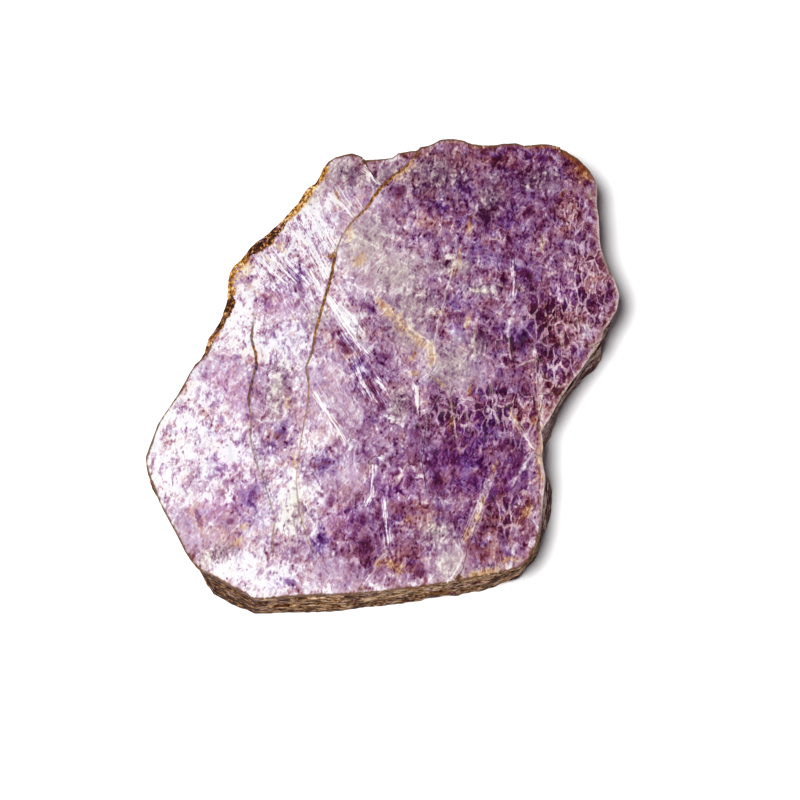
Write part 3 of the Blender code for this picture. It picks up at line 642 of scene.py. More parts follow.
# %% Lifted sheets, worn rim, filled cracks
RAY_BEND, VEIN_BEND = 0.12, 0.3
LIFT_HEIGHT, LIFT_REACH = 0.09, 0.9
RIM_WEAR, RIM_WEAR_REACH, RIM_WEAR_SIZE = 0.14, 0.8, 1.3
GROOVE_REACH = 0.45
GROOVE_FILL, CRACK_FILL = 0.85, 0.8
CRACK_HALF_WIDTH, CRACK_REACH, CRACK_SHARE = 0.34, 1.0, 0.42
NEAR_CRACK = 1.6
TOP_LIMIT = 6.96
RAGGED_FROM, RAGGED_SHARE = 1.5, 0.3

ray_across, ray_share, ray_along = nearest_line(straight + RAY_BEND * (flat - straight), RAYS)
vein_across, vein_share, vein_along = nearest_line(
    straight + VEIN_BEND * (flat - straight), VEINS
)
lifted = np.exp(-np.maximum(ray_across, 0.0) / LIFT_REACH) * (ray_across > 0)
relief += LIFT_HEIGHT * lifted * np.minimum(1.0, 6.0 * ray_share * (1.0 - ray_share))
wear = RIM_WEAR * np.maximum(0.5 + noise_at(level, RIM_WEAR_SIZE, 9.0), 0.0)
relief -= wear * np.exp(-to_brink / RIM_WEAR_REACH)
groove_across = np.abs(nearest_line(straight, GROOVES)[0])
crack_across = np.abs(nearest_line(straight, CRACKS)[0])
face_tree = tree_over([(i, places[i]) for i in np.flatnonzero(on_face)])
for i in np.flatnonzero(on_face & (np.minimum(groove_across, crack_across) < GROOVE_REACH)):
    around = face_tree.find_range((*straight[i], 0.0), GROOVE_REACH)
    top = max(height[k] for _, k, _ in around)
    fill = GROOVE_FILL if groove_across[i] < crack_across[i] else CRACK_FILL
    relief[i] += fill * (top - height[i])
moved = places.copy()
moved[on_face, 2] = np.minimum((height + relief)[on_face], TOP_LIMIT)
ragged = RAGGED_SHARE * np.clip(to_rim / RAGGED_FROM, 0.0, 1.0) * on_face
moved[:, :2] += ragged[:, None] * (flat - straight)
near_crack = on_face & (crack_across < NEAR_CRACK)
moved[near_crack, :2] = narrowed(
    moved[near_crack, :2], CRACKS, CRACK_HALF_WIDTH, CRACK_REACH, CRACK_SHARE
)
crack_across, crack_share, _ = nearest_line(moved[:, :2], CRACKS)
print("relief from", round(relief[on_face].min(), 3), "to", round(relief[on_face].max(), 3), "mm")

# %% [markdown]
# Round the edge the sheets stand in and out. Each row of points belongs to one sheet and is set
# back by noise of its own, so the walls show laminations. The foot spreads at the front, where
# the lower sheets reach furthest. The underside has scales too, pressed almost flat.

# %% Stand the sheets in and out
EDGE_DEPTH = 0.26
SHEET_THICKNESS, SHEET_WAVE = 0.4, 3.0
SHEET_SHUFFLE = 9.7
RAGGED_SIZE, RAGGED_STRETCH = 0.6, (1.6, 1.6, 0.5)
BRINK_FADE = 0.5
FOOT_SPREAD, FRONT_SPREAD = 0.3, 0.5
FOOT_TOP = 5.0
UNDERSIDE_RELIEF, UNDERSIDE_SCALE_SIZE = 0.09, 2.2

sheet_row = np.round(height / SHEET_THICKNESS) * SHEET_SHUFFLE
layers = 0.5 + 0.8 * noise_at(np.column_stack([straight, sheet_row]), SHEET_WAVE, 4.0)
layers += 0.35 * noise_at(places, RAGGED_SIZE, 6.0, RAGGED_STRETCH)
sunk = EDGE_DEPTH * np.clip(layers, 0.0, 1.0) * np.clip(to_brink / BRINK_FADE, 0.0, 1.0)
frontward = -np.minimum(outward[:, 1], 0.0)
spread = FOOT_SPREAD + FRONT_SPREAD * frontward * (1.0 + 0.4 * noise_at(level, 1.2, 3.0))
foot = spread * np.clip(1.0 - height / FOOT_TOP, 0.0, 1.0)
moved[:, :2] += ((foot - sunk) * on_wall)[:, None] * outward
for axis in (0, 1):
    moved[:, axis] = np.clip(moved[:, axis], SLAB_BOX[0][axis] / MM, SLAB_BOX[1][axis] / MM)
raised = np.clip(0.3 + scales(bent_places, UNDERSIDE_SCALE_SIZE, 5.2), 0.0, 1.0)
only_under = kinds[:, UNDERSIDE] & ~kinds[:, EDGE]
moved[only_under, 2] += UNDERSIDE_RELIEF * raised[only_under]
slab_mesh.vertices.foreach_set("co", (moved * MM).ravel())
print("sheets stand in by up to", round(sunk[on_wall].max(), 2), "mm")

# %% [markdown]
# ## Marks for the materials
# The zones give every point its lightness and contrast. The underside is the same cleavage face,
# but it has rubbed on the ground: duller and greyer. The marks of the top don't go through, so
# down there the lightness comes from broad noise alone.

# %% Lightness and contrast
MIDDLE_TONE, MIDDLE_CONTRAST = 0.5, 0.7
ZONE_SOFTNESS, SPOT_SOFTNESS = 0.75, 1.0
PALE_SWING, DEEP_SWING = 0.2, 0.27
HALF_HEIGHT = 3.0
UNDER_TONE, UNDER_TONE_SWING, UNDER_CONTRAST = 0.5, 0.28, 0.6
BROAD = 6.0


def keep(name, values):
    """Writes one number for each point onto the mesh, under this name."""
    attribute = slab_mesh.attributes.new(name, "FLOAT", "POINT")
    attribute.data.foreach_set("value", np.asarray(values, np.float32))


weight_sum = np.full(len(flat), 1e-4)
tone, contrast = weight_sum * MIDDLE_TONE, weight_sum * MIDDLE_CONTRAST
for zone_tone, zone_contrast, patches in ZONES.values():
    for patch in patches:
        weight = closeness(flat, patch, ZONE_SOFTNESS)
        weight_sum += weight
        tone += weight * zone_tone
        contrast += weight * zone_contrast
tone /= weight_sum
contrast /= weight_sum
near_flat = 0.5 * flat + 0.5 * straight
tone += PALE_SWING * cover(near_flat, PALE_SPOTS, SPOT_SOFTNESS)
tone -= DEEP_SWING * cover(near_flat, DEEP_SPOTS, SPOT_SOFTNESS)
below = height < HALF_HEIGHT
above = ~below
tone[below] = UNDER_TONE + UNDER_TONE_SWING * noise_at(places, BROAD, 14.0)[below]
contrast[below] = UNDER_CONTRAST
keep("tone", tone)
keep("contrast", contrast)
print("lightness from", round(tone.min(), 2), "to", round(tone.max(), 2))

# %% [markdown]
# The two cracks change as they run: `crack_bold` widens them and turns them from pale clay to
# gold, and `crack_dark` browns them. Both are read off a short profile from front to back, one
# for the long crack and one for the crack on the left.

# %% Write the hues and lines onto the mesh
STROKE_FADE = 1.1
TAPER = 12.0
UNDER_DUST = 0.35
LINE_REACH = 2.0
RIM_REACH = 3.0
STEPS_FROM = 0.8
LEFT_OF, LEFT_CRACK_TOP = -13.5, 9.0
CRACK_STOPS = (-28.0, -18.0, -10.0, -6.0, 3.0, 15.0, 18.0, 25.0)
CRACK_PROFILES = {
    "crack_bold": ((0.2, 0.2, 0.3, 0.45, 0.7, 0.9, 0.2, 1.0),
                   (0.4, 0.1, 0.2, 0.6, 0.7, 0.2, 0.2, 0.2)),
    "crack_dark": ((0.0, 0.1, 0.3, 0.5, 0.65, 0.65, 0.4, 0.5),
                   (0.6, 0.5, 0.7, 1.0, 1.0, 1.0, 1.0, 1.0)),
}


def stroke(across, share):
    """How strongly a line draws: full along it, tapering at its ends, and nothing far from it."""
    taper = np.clip(share * TAPER, 0.0, 1.0) * np.clip((1.0 - share) * TAPER, 0.0, 1.0)
    return np.clip(2.0 - np.abs(across) / (0.5 * STROKE_FADE), 0.0, 1.0) * taper


for name, patches in (("grey", GREY), ("net", NET), ("violet", VIOLET), ("wine", WINE),
                      ("magenta", MAGENTA), ("ochre", OCHRE), ("streaks", STREAKS)):
    keep(name, cover(flat, patches) * above + below * UNDER_DUST * (name in ("grey", "net")))
# light: the light flecks, pale flakes with painted glints among them
keep("light", cover(near_flat, PALE_FLECKS_AND_GLINTS) * above)
keep("dark", cover(near_flat, DARK_FLECKS) * above)
for name, across, share in (("ray", ray_across, ray_share), ("vein", vein_across, vein_share),
                            ("crack", crack_across, crack_share)):
    keep(name + "_across", np.clip(across, -LINE_REACH, LINE_REACH))
    keep(name + "_stroke", stroke(across, share) * above)
keep("ray_along", ray_along)
keep("vein_along", vein_along)
on_left = (places[:, 0] < LEFT_OF) & (places[:, 1] < LEFT_CRACK_TOP)
for name, profiles in CRACK_PROFILES.items():
    long_crack, left_crack = (np.interp(places[:, 1], CRACK_STOPS, stops) for stops in profiles)
    keep(name, np.where(on_left, left_crack, long_crack))
# step: the walls of steps between plates, lightened below, partly as the pale veins at plate
# borders and partly as painted light against the shade on those walls.
keep("step", on_step & (to_brink > STEPS_FROM))
keep("rim", np.clip(to_brink, 0.0, RIM_REACH))
print(len(slab_mesh.attributes), "attributes on the mesh")

# %% [markdown]
# The stacked edge changes as it goes round: golden where clay has filled it at the upper left,
# almost black beside that, brown and tan along the front, and pale pink on the right, where the
# break is fresh. The black stain at the front left hardly reaches onto the face.

# %% Stain the edge
GOLDEN_EDGE = (
    (-12.4, 24.4, 4, 1.6, 54), (-20.4, 13.6, 3.4, 1.6, 62), (-21.4, 10.4, 1.2, 1.2, 0),
    (-24, 3.4, 2.6, 0.9, 64), (-8.9, 28.6, 1.6, 1, 50),
)
BLACK_EDGE = (
    (-17.3, 17.8, 3, 1.5, 46), (-22.4, 6.8, 4, 0.9, 64), (-21.4, -31.8, 5.4, 2.8, -36),
    (-15.2, 20.4, 1.2, 0.8, 40), (-19.4, 15.8, 1.2, 0.7, 50),
)
PINK_EDGE = (
    (29.8, 20, 7, 1.4, 88), (31, 8.6, 5, 1.6, 70), (26, -1.6, 6, 1.4, 54),
    (21.8, -10, 4, 1.2, 70), (21.4, -18, 5, 1.2, 88),
)
STAIN_SOFTNESS = 1.6
FRONT = -25.0
STAIN_ON_FRONT_FACE = 0.3

strength = np.where(on_face & (places[:, 1] < FRONT), STAIN_ON_FRONT_FACE, 1.0)
for name, patches in (("golden", GOLDEN_EDGE), ("black", BLACK_EDGE), ("pink", PINK_EDGE)):
    keep(name, cover(flat, patches, STAIN_SOFTNESS) * strength)
print("edge stained")

# %% [markdown]
# ## Materials as expressions
# A wire is a value that runs between two nodes. Wrapping it lets shader maths be written like any
# other maths, and one method adds every other node: its type, its settings, then its sockets.

# %% The wire
class Wire:
    """A value in a material. Adding, taking away and multiplying wires adds Math nodes."""

    def __init__(self, finish, node, output=0):
        self.finish, self.node = finish, node
        self.socket = node.outputs[output] if node.outputs else None

    def output(self, name):
        return Wire(self.finish, self.node, name)

    def maths(self, operation, *values):
        return self.finish.add("ShaderNodeMath", {"operation": operation}, dict(enumerate(values)))

    def __add__(self, other):
        return self.maths("ADD", self, other)

    def __sub__(self, other):
        return self.maths("SUBTRACT", self, other)

    def __rsub__(self, other):
        return self.maths("SUBTRACT", other, self)

    def __mul__(self, other):
        return self.maths("MULTIPLY", self, other)

    def __abs__(self):
        return self.maths("ABSOLUTE", self)

    __radd__, __rmul__ = __add__, __mul__

    def clamped(self):
        return self.maths("MAXIMUM", self.maths("MINIMUM", self, 1.0), 0.0)


print("wire ready")

# %% [markdown]
# A finish is one material. Its methods are the few kinds of node that this slab needs: marks read
# off the mesh, noise, cells, ramps, soft steps and mixes. Patterns read object coordinates in
# millimetres, so that they stay on the slab wherever it goes.

# %% The finish
MATTE = 0.1


class Finish:
    """One material, built node by node."""

    def __init__(self, name):
        self.material = bpy.data.materials.new(name)
        self.material.use_nodes = True
        self.material.node_tree.nodes.clear()

    def add(self, kind, settings=None, sockets=None, output=0):
        tree = self.material.node_tree
        node = tree.nodes.new(kind)
        for name, value in (settings or {}).items():
            if name == "stops":
                elements = node.color_ramp.elements
                while len(elements) < len(value):
                    elements.new(1.0)
                for element, (position, colour) in zip(elements, value):
                    element.position, element.color = position, colour
            else:
                setattr(node, name, value)
        for name, value in (sockets or {}).items():
            if isinstance(value, Wire):
                tree.links.new(value.socket, node.inputs[name])
            else:
                node.inputs[name].default_value = value
        return Wire(self, node, output)

    def millimetres(self):
        """Places on the piece, in millimetres."""
        metres = self.add("ShaderNodeTexCoord", output="Object")
        return self.add("ShaderNodeVectorMath", {"operation": "SCALE"},
                        {0: metres, "Scale": 1.0 / MM})

    def mark(self, name):
        """A number kept on the mesh's points."""
        return self.add("ShaderNodeAttribute", {"attribute_name": name}, output="Fac")

    def noise(self, vector, scale, detail=3.0, roughness=0.55, output=0, distortion=0.0):
        """Noise from 0 to 1: its features are about 1 / scale millimetres."""
        return self.add("ShaderNodeTexNoise", None, {
            "Vector": vector, "Scale": scale, "Detail": detail, "Roughness": roughness,
            "Distortion": distortion,
        }, output)

    def cells(self, vector, scale, output="Color", feature="F1"):
        """A mosaic of cells: a random colour for each, or distances to middles or edges."""
        return self.add("ShaderNodeTexVoronoi", {"feature": feature},
                        {"Vector": vector, "Scale": scale}, output)

    def first_part(self, colour):
        """The first of a colour's three numbers: a random shade, where cells are coloured."""
        return self.add("ShaderNodeSeparateColor", None, {"Color": colour})

    def shift(self, operation, *vectors):
        return self.add("ShaderNodeVectorMath", {"operation": operation},
                        dict(enumerate(vectors)))

    def turned(self, vector, degrees, stretch):
        """The vector's pattern, stretched along a direction in the plane of the face."""
        return self.add("ShaderNodeMapping", {"vector_type": "TEXTURE"}, {
            "Vector": vector, "Rotation": (0.0, 0.0, math.radians(degrees)), "Scale": stretch,
        })

    def ramp(self, value, stops):
        return self.add("ShaderNodeValToRGB", {"stops": stops}, {"Fac": value})

    def step(self, value, start, end):
        """0 where the value is at the start, 1 at the end, smooth between."""
        return self.add("ShaderNodeMapRange", {"interpolation_type": "SMOOTHSTEP"},
                        {"Value": value, "From Min": start, "From Max": end})

    def mix(self, factor, first, second):
        """A colour between two others. Sockets 6 and 7 are the two, and output 2 is the mix."""
        return self.add("ShaderNodeMix", {"data_type": "RGBA"},
                        {0: factor, 6: first, 7: second}, 2)

    def bump(self, height, strength, distance, **sockets):
        sockets.update(Height=height, Strength=strength, Distance=distance * MM)
        return self.add("ShaderNodeBump", None, sockets)

    def lay(self, sockets):
        """Ends the finish with a shader that has these sockets."""
        shader = self.add("ShaderNodeBsdfPrincipled", None,
                          {"Specular IOR Level": MATTE, **sockets})
        self.add("ShaderNodeOutputMaterial", None, {"Surface": shader})
        print(self.material.name, "has", len(self.material.node_tree.nodes), "nodes")


print("finish ready")

# %% [markdown]
# ## The cleavage face
# One value runs through the finish: how milky the mica is here, with the glare and glints of the
# light painted into it as extra whiteness. It starts from the zone, and noise at three sizes, the
# net of veins, the streaks of lifted fibres, the flecks and the lines push it up or down. Ramps
# then turn it to colour: plum black through purple and lilac to white, with grey, violet, magenta
# and wine mixed in where those hues lie. Dark places stay saturated and light places pale, as in
# the mineral.

# %% Colours of the mica
LIGHT_ON_FACE = 1.5


def paint(red, green, blue):
    """A pigment, given as the colour from 0 to 255 that it shows under this scene's light."""
    linear = [(c / 255.0 / 1.055 + 0.0521) ** 2.4 if c > 10 else c / 3294.6
              for c in (red, green, blue)]
    return (*(c / LIGHT_ON_FACE for c in linear), 1.0)


def pigments(stops, *colours):
    """A colour ramp of these paints at these stops."""
    return tuple((stop, paint(*colour)) for stop, colour in zip(stops, colours))


MILKY_STOPS = (0.0, 0.12, 0.26, 0.4, 0.54, 0.68, 0.82, 0.93, 1.0)
HUE_STOPS = (*MILKY_STOPS[:7], 1.0)
LILAC_RAMP = pigments(
    MILKY_STOPS, (56, 0, 44), (92, 20, 76), (120, 60, 104), (147, 96, 134), (171, 129, 162),
    (195, 160, 187), (219, 195, 214), (240, 226, 238), (254, 252, 254),
)
GREY_RAMP = pigments(
    HUE_STOPS, (54, 10, 48), (82, 38, 76), (108, 69, 102), (136, 102, 126), (162, 137, 146),
    (189, 169, 170), (213, 199, 192), (246, 242, 232),
)
VIOLET_RAMP = pigments(
    HUE_STOPS, (40, 0, 58), (70, 12, 96), (100, 52, 130), (128, 90, 156), (156, 125, 180),
    (186, 160, 200), (212, 195, 224), (248, 246, 255),
)
MAGENTA_RAMP = pigments(
    HUE_STOPS, (64, 0, 58), (96, 12, 92), (124, 54, 118), (150, 90, 146), (176, 124, 172),
    (202, 156, 196), (224, 192, 222), (255, 248, 255),
)
WINE_RAMP = pigments(
    HUE_STOPS, (60, 0, 20), (96, 26, 44), (128, 62, 74), (156, 94, 102), (180, 127, 130),
    (206, 160, 158), (228, 195, 190), (250, 238, 232),
)
print(len(MILKY_STOPS), "steps from plum to white")

# %% Colours of clay, iron and vein
OCHRE_RAMP = pigments(
    (0.0, 0.3, 0.55, 0.8, 1.0),
    (104, 42, 20), (154, 86, 46), (198, 150, 104), (222, 192, 154), (246, 232, 212),
)
GOLD_RAMP = pigments(
    (0.0, 0.35, 0.65, 1.0), (84, 40, 8), (156, 94, 28), (214, 156, 72), (248, 222, 170),
)
EARTH_RAMP = pigments(
    (0.0, 0.4, 0.6, 0.8, 1.0),
    (40, 16, 6), (80, 42, 18), (126, 74, 32), (186, 124, 58), (224, 180, 130),
)
CREAM = paint(232, 214, 190)
VEIN_PINK = paint(216, 174, 180)
CRACK_PALE = paint(190, 164, 132)
RIM_BROWN = paint(110, 72, 44)
RIM_PINK = paint(236, 214, 210)
print("pigments mixed")

# %% [markdown]
# Lepidolite is mottled at every size, from clouds as wide as a fingernail to grains of a third of
# a millimetre. Noise at several sizes gives that, and stays sharp however near the camera comes.
# The patterns are drawn out almost upright, the way this slab's scales run. The net and the
# scales are mosaics of cells.

# %% Patterns of the face
UPRIGHT = 84.0
ALONG_RAYS = -58.0
NET_SCALE = 0.82

face = Finish("cleavage_face")
spot = face.millimetres()
wander = face.noise(spot, 0.5, 2.0, 0.5, "Color")
bent_spot = face.shift("MULTIPLY_ADD", wander, (1.1, 1.1, 0.6), spot)
ripple = face.noise(spot, 1.3, 2.0, 0.6, "Color")
rippled_spot = face.shift("MULTIPLY_ADD", ripple, (0.4, 0.4, 0.2), bent_spot)
grain_cloth = face.turned(spot, UPRIGHT, (1.3, 0.9, 1.0))
cloudy = face.noise(bent_spot, 0.3, 2.0, 0.6)
mottled = face.noise(face.turned(bent_spot, UPRIGHT, (1.35, 0.9, 1.0)), 0.95, 4.0, 0.66, 0, 0.5)
mottle = mottled - 0.5
grainy = face.noise(grain_cloth, 2.4, 2.0, 0.6)
grain = grainy - 0.5
thread_cloth = face.turned(rippled_spot, UPRIGHT, (2.2, 0.8, 1.0))
threads = face.step(abs(face.noise(thread_cloth, 0.9, 3.0, 0.6, 0, 0.3) - 0.5), 0.04, 0.0)
fibrous = face.noise(face.turned(bent_spot, ALONG_RAYS, (3.4, 0.42, 1.0)), 1.3, 3.0, 0.75)
hue_wander = face.noise(bent_spot, 0.5, 4.0, 0.7, 0, 0.4) - 0.5
net_cloth = face.turned(rippled_spot, UPRIGHT, (2.2, 0.9, 1.0))
net_edge = face.cells(net_cloth, NET_SCALE, "Distance", "DISTANCE_TO_EDGE")
net_shade = face.first_part(face.cells(net_cloth, NET_SCALE))
scale_colour = face.cells(face.turned(bent_spot, UPRIGHT, (1.4, 0.9, 1.0)), 1.5)
scale_shade = face.first_part(scale_colour)
speck = face.cells(grain_cloth, 1.9, "Distance")
speck_shade = face.first_part(speck.output("Color"))
print("face: patterns laid")

# %% How milky the mica is, with painted glare and glints
SCRATCHES = ((ALONG_RAYS, 0.34, "streaks"), (-74.0, 0.26, "streaks"), (86.0, 0.26, "net"),
             (48.0, 0.14, None), (-30.0, 0.12, None))

net_mark, streak_mark = face.mark("net"), face.mark("streaks")
busy = face.step(face.noise(bent_spot, 0.4, 2.0, 0.5), 0.3, 0.7) * 1.2 + 0.5
pattern = (cloudy - 0.5) * 0.9 + mottle * 2.2 * busy + grain * 0.8
pattern = pattern + (scale_shade - 0.5) * 0.14 + (threads - 0.25) * 0.2
dark_speck = face.step(speck_shade, 0.34, 0.26)
# The lightest specks are painted glints: tiny scales that mirror the light, painted as white.
painted_glint_speck = face.step(speck_shade, 0.78, 0.86)
dark_specks_and_glints = face.step(speck, 0.45, 0.25) * (painted_glint_speck * 0.25 - dark_speck * 0.35)
fibres = (fibrous - 0.5) * 1.8 * streak_mark
milky_and_glare = face.mark("tone") + face.mark("contrast") * (pattern + dark_specks_and_glints + fibres)
net_gap = net_edge + mottle * 0.35 + grain * 0.4 - hue_wander * 0.5
net_line = face.step(net_gap, 0.1, -0.02)
milky_and_glare = milky_and_glare + ((net_line - 0.28) * 0.64 + (net_shade - 0.5) * 0.42) * net_mark
scratch_spot = face.shift("MULTIPLY_ADD", wander, (0.35, 0.35, 0.0), spot)
for turn, strength, mark in SCRATCHES:
    hairs = face.noise(face.turned(scratch_spot, turn, (7.0, 0.2, 1.0)), 1.0, 1.0, 0.5)
    hairs = face.step(hairs, 0.62, 0.7) * strength
    milky_and_glare = milky_and_glare + (hairs * face.mark(mark) if mark else hairs)
dark_fleck = face.step(face.mark("dark") * 0.85 + mottle * 1.9 + grain * 0.9, 0.3, 0.7)
# The light flecks lighten the face: pale flakes, and painted glints of the light.
light_fleck_and_glint = face.step(face.mark("light") + mottle * 1.6 + grain * 1.2, 0.25, 0.85)
milky_and_glare = milky_and_glare - dark_fleck * (0.12 + milky_and_glare * 0.3) + light_fleck_and_glint * 0.3
print("face: milkiness summed")

# %% [markdown]
# The lines come last: each ray and vein is a ragged stroke with fine strands beside it, and the
# cracks are strokes whose width follows their profile.

# %% Draw the lines
def strands(name, reach, count, gap):
    """Fine strands that run beside the marked lines, fading out sideways."""
    across = face.mark(name + "_across")
    cloth = face.add("ShaderNodeCombineXYZ", None, {
        "X": across * count, "Y": face.mark(name + "_along") * 0.28,
    })
    strand = face.step(face.noise(cloth, 1.0, 2.0, 0.6), gap, gap + 0.12)
    return strand * face.step(abs(across), reach, reach * 0.2) * face.mark(name + "_stroke")


def line_of(name, width, ragged):
    """A stroke along the marked lines, with a ragged side."""
    across = abs(face.mark(name + "_across") + mottle * ragged)
    return face.step(across, width, width * 0.35) * face.mark(name + "_stroke")


ray_line = (line_of("ray", 0.15, 0.3) * 0.7 + strands("ray", 0.7, 5.0, 0.5)).clamped()
vein_line = (line_of("vein", 0.16, 0.9) * 0.8 + strands("vein", 0.6, 5.0, 0.52) * 0.8).clamped()
bold = face.mark("crack_bold")
crack_side = abs(face.mark("crack_across") + mottle * 0.5) - bold * 0.14
crack_line = face.step(crack_side, 0.16, 0.03) * face.mark("crack_stroke")
# Step walls between plates are lightened: partly the pale veins at plate borders, partly painted
# light that takes the shade off the step walls.
milky_and_glare = milky_and_glare + ray_line * 0.7 + vein_line * 0.3 + face.mark("step") * (mottled * 0.3)
milky_and_glare = milky_and_glare.clamped()
print("face: lines drawn")

# %% [markdown]
# Now the colours. Each hue has a ramp of its own, and a slow noise pushes one over the next, so
# that no border shows. Iron lies on top of everything: along the seam, in the cracks and round
# the worn rim.

# %% Colour of the face
hue_swing = hue_wander * 3.4 + grain * 0.8
colour = face.ramp(milky_and_glare, LILAC_RAMP)
for name, stops, strength, swing in (
    ("magenta", MAGENTA_RAMP, 0.9, 0.2), ("violet", VIOLET_RAMP, 0.6, 1.0),
    ("wine", WINE_RAMP, 0.65, -1.0), ("grey", GREY_RAMP, 0.85, 0.2),
):
    amount = (face.mark(name) * strength + hue_swing * swing).clamped()
    colour = face.mix(amount, colour, face.ramp(milky_and_glare, stops))
# Cream over the light flecks, where they are painted glints as well as pale flakes.
colour = face.mix(light_fleck_and_glint * 0.25, colour, CREAM)
colour = face.mix((net_line * net_mark * grainy).clamped(), colour, VEIN_PINK)
rim_mark = face.mark("rim")
ochre = face.step(face.mark("ochre") + mottle * 1.8 + (threads - 0.5) * 0.4, 0.3, 0.85)
rust_rim = face.step(rim_mark + mottle * 2.0, 1.3, 0.1) * (1.1 - milky_and_glare).clamped()
ochre = (ochre * 0.8 + rust_rim * 0.5).clamped()
colour = face.mix(ochre, colour, face.ramp(milky_and_glare, OCHRE_RAMP))
colour = face.mix((vein_line * 0.3).clamped(), colour, CREAM)
crumbs = mottle * 2.0 + grain * 3.0
crack_tint = face.mix(bold, CRACK_PALE, face.ramp(crumbs * 0.7 + 0.42, GOLD_RAMP))
crack_brown = face.ramp(crumbs * 0.6 + 0.5, EARTH_RAMP)
crack_tint = face.mix(face.mark("crack_dark"), crack_tint, crack_brown)
colour = face.mix((crack_line * (mottled * 0.9 + bold * 0.7)).clamped(), colour, crack_tint)
print("face: hues, stains and cracks mixed")

# %% Colour of the worn rim
ragged_rim = rim_mark + mottle * 0.7
pink_mark = face.mark("pink")
brown_rim = face.step(ragged_rim, 0.42, 0.16) * (0.95 - pink_mark)
pink_rim = face.step(ragged_rim + grain * 1.4, 0.36, 0.06) * pink_mark
crumble = mottle * 2.4 + grain * 1.6
gold_rim = face.step(face.mark("golden") * 1.2 - rim_mark * 0.7 + crumble, 0.3, 0.5)
black_rim = face.step(face.mark("black") * 1.5 - rim_mark * 0.8 + crumble, 0.4, 0.55)
colour = face.mix(brown_rim.clamped(), colour, RIM_BROWN)
colour = face.mix((pink_rim * 0.8).clamped(), colour, RIM_PINK)
colour = face.mix(gold_rim, colour, face.ramp(crumbs + 0.5, GOLD_RAMP))
colour = face.mix(black_rim, colour, face.ramp(crumbs + 0.36, EARTH_RAMP))
print("face: rim mixed")

# %% [markdown]
# Each little scale of mica mirrors the light its own way. A random tilt of the normal for every
# cell does that, and a bump from the finer patterns roughens what is between. A thin coat gives
# the pearl: it reflects on top of the colour without greying it.

# %% Sheen and surface of the face
TILT = 0.3

tilt = face.shift("SUBTRACT", scale_colour, (0.5, 0.5, 0.5))
tilt = face.shift("MULTIPLY", tilt, (TILT, TILT, 0.0))
normal = face.add("ShaderNodeNewGeometry", output="Normal")
normal = face.shift("NORMALIZE", face.shift("ADD", normal, tilt))
roughening = mottled * 0.5 + grainy * 0.35 + fibrous * streak_mark * 0.5 - crack_line * 0.6
face.lay({
    "Base Color": colour,
    "Roughness": (0.5 - milky_and_glare * 0.12 + grain * 0.5 + ochre * 0.2).clamped(),
    "Normal": face.bump(roughening, 0.5, 0.09, Normal=normal),
    "Coat Roughness": 0.2, "Coat Weight": 0.05,
})

# %% [markdown]
# ## The laminated edge
# The edge shows the book end-on: hundreds of sheets as fine dark and light lines that run with
# the rim, stained by iron. Noise squeezed in height and drawn out along the slab gives lines at
# any wall direction. The stains kept on the mesh turn them golden, black or pink, and here and
# there a band of sheets is still lilac.

# %% Paint the edge
SHEET_RAMP = pigments(
    (0.0, 0.3, 0.52, 0.72, 1.0),
    (50, 18, 2), (114, 66, 28), (164, 108, 56), (208, 156, 104), (250, 222, 186),
)
PINK_RAMP = pigments(
    (0.0, 0.4, 0.7, 1.0), (90, 40, 44), (160, 112, 112), (216, 180, 176), (250, 236, 232),
)
edge = Finish("laminated_edge")
still_spot = edge.millimetres()
waves = edge.noise(still_spot, 0.35, 2.0, 0.5, "Color")
spot = edge.shift("MULTIPLY_ADD", waves, (0.0, 0.0, 0.9), still_spot)


def laminated(width, height, scale, detail, roughness):
    """Noise from 0 to 1, drawn out along the walls and squeezed in height."""
    cloth = edge.add("ShaderNodeMapping", None, {"Vector": spot, "Scale": (width, width, height)})
    return edge.noise(cloth, scale, detail, roughness)


sheets = laminated(0.25, 2.2, 1.5, 4.0, 0.8)
hairlines = laminated(0.6, 5.0, 1.4, 3.0, 0.8)
crumbs = laminated(0.7, 1.8, 2.2, 3.0, 0.75)
stained = edge.noise(spot, 0.5, 2.0, 0.6)
rise = edge.add("ShaderNodeSeparateXYZ", None, {"Vector": still_spot}, "Z")
lamina = 0.32 + (sheets - 0.5) * 3.6 + (hairlines - 0.5) * 3.6 + (crumbs - 0.5) * 2.8
lamina = (lamina + (stained - 0.5) * 1.8 - edge.step(rise, 3.6, 0.4) * 0.1).clamped()
print("edge: laminations laid")

# %% Colour and surface of the edge
colour = edge.ramp(lamina, SHEET_RAMP)
colour = edge.mix(edge.mark("pink") * 0.8, colour, edge.ramp(lamina, PINK_RAMP))
crumble = (crumbs - 0.5) * 2.2 + (hairlines - 0.5) * 1.4
gold = edge.step(edge.mark("golden") + crumble * 0.6, 0.2, 0.5)
black = edge.step(edge.mark("black") + crumble, 0.35, 0.6)
colour = edge.mix(gold, colour, edge.ramp(crumble * 1.3 + lamina * 0.5 + 0.25, GOLD_RAMP))
colour = edge.mix(black, colour, edge.ramp(crumble * 1.2 + lamina * 0.4 + 0.15, EARTH_RAMP))
lilac_sheets = edge.step(edge.noise(spot, 0.4, 2.0, 0.5), 0.55, 0.68) * 0.3
colour = edge.mix(lilac_sheets, colour, edge.ramp(lamina, LILAC_RAMP))
edge.lay({
    "Base Color": colour, "Roughness": (0.72 - lamina * 0.2).clamped(),
    "Normal": edge.bump(sheets * 0.6 + hairlines * 0.5 + crumbs * 0.3, 0.8, 0.16),
})

# %% [markdown]
# ## The finished slab
# The mesh gets its two finishes and smooth shading, except across sharp folds, where the sheets
# break. The piece takes the place of the frame's plain slab.

# %% Dress the slab
SHARP_FOLD = math.radians(38.0)

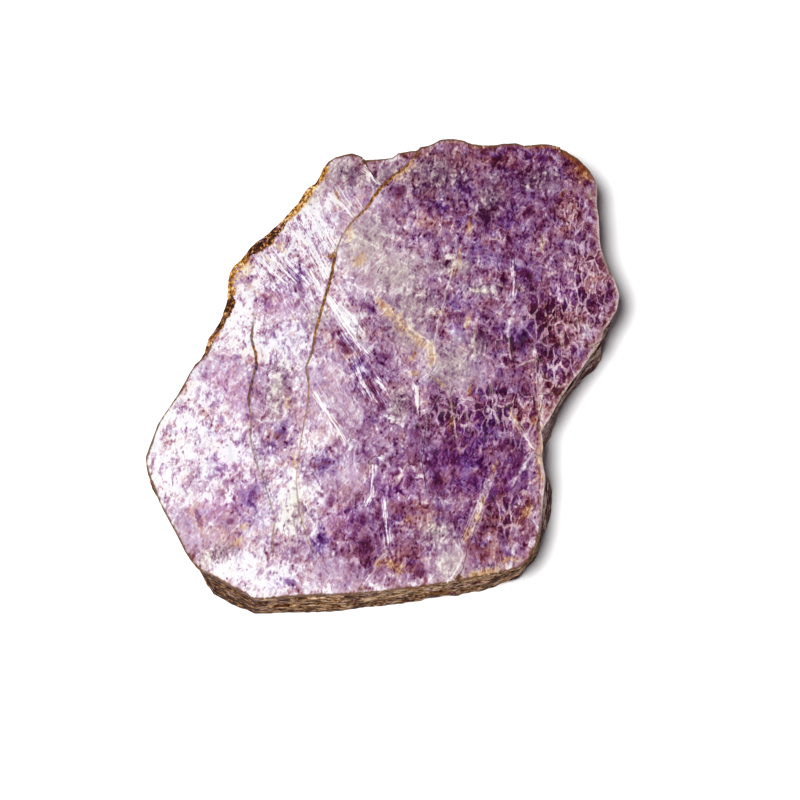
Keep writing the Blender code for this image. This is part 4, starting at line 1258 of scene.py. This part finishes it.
for polygon in slab_mesh.polygons:
    polygon.material_index = EDGE if polygon.material_index == EDGE else FACE
slab_mesh.materials.append(face.material)
slab_mesh.materials.append(edge.material)
folds = bmesh.new()
folds.from_mesh(slab_mesh)
for polygon in folds.faces:
    polygon.smooth = True
for line in folds.edges:
    line.smooth = len(line.link_faces) == 2 and line.calc_face_angle(0.0) < SHARP_FOLD
folds.to_mesh(slab_mesh)
folds.free()
slab = bpy.data.objects.new("lepidolite_slab", slab_mesh)
bpy.context.scene.collection.objects.link(slab)
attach(slab, "root")
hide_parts("mica_crystal")
slab_mesh.calc_loop_triangles()
print(len(slab_mesh.loop_triangles), "triangles")

# %% [markdown]
# ## Floor and light
# A white sheet lies under the slab. A large soft light overhead, a little to the left, makes the
# face bright and leaves one short soft shadow on the right. A weak light from the front opens up
# the brown edge, and the surroundings add a little from all sides.

# %% Lay the floor and hang the lights
FLOOR_HALF = 1.5
KEY_DIRECTION = Vector((-0.31, -0.22, 0.94)).normalized()
KEY_DISTANCE = 0.6
KEY_SIZE = 0.29
KEY_POWER = 5.5
FILL_DIRECTION = Vector((-0.45, -0.8, 0.42)).normalized()
FILL_DISTANCE = 0.7
FILL_SIZE = 0.4
FILL_POWER = 0.5
SURROUNDINGS = 0.08
SURROUNDINGS_TINT = (0.93, 0.8, 1.0, 1.0)
WHITE_SHEET = (0.93, 0.93, 0.93, 1.0)

floor_shape = bmesh.new()
bmesh.ops.create_grid(floor_shape, x_segments=1, y_segments=1, size=FLOOR_HALF)
floor_mesh = bpy.data.meshes.new("floor")
floor_shape.to_mesh(floor_mesh)
floor_shape.free()
floor = bpy.data.objects.new("floor", floor_mesh)
bpy.context.scene.collection.objects.link(floor)
sheet = Finish("white_sheet")
sheet.lay({"Base Color": WHITE_SHEET, "Roughness": 0.9})
floor_mesh.materials.append(sheet.material)
floor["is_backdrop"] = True


def hang_light(name, direction, distance, size, power):
    light = bpy.data.lights.new(name, "AREA")
    light.shape = "DISK"
    light.size = size
    light.energy = power
    lamp = bpy.data.objects.new(name, light)
    lamp.location = direction * distance
    lamp.rotation_euler = direction.to_track_quat("Z", "Y").to_euler()
    bpy.context.scene.collection.objects.link(lamp)


hang_light("key", KEY_DIRECTION, KEY_DISTANCE, KEY_SIZE, KEY_POWER)
hang_light("fill", FILL_DIRECTION, FILL_DISTANCE, FILL_SIZE, FILL_POWER)
world = bpy.data.worlds.new("studio")
world.use_nodes = True
background = world.node_tree.nodes["Background"]
background.inputs["Color"].default_value = SURROUNDINGS_TINT
background.inputs["Strength"].default_value = SURROUNDINGS
bpy.context.scene.world = world
bpy.context.scene.view_settings.view_transform = "Standard"
print("lights hung")

# %% [markdown]
# The dressed slab has to stay inside the plain slab's box. Both boxes are printed.

# %% Print the sizes
sizes = {
    "cad": [list(corner) for corner in SLAB_BOX],
    "visual": [list(corner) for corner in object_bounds()],
}
for name, box in sizes.items():
    print(name, [[round(v / MM, 3) for v in corner] for corner in box])
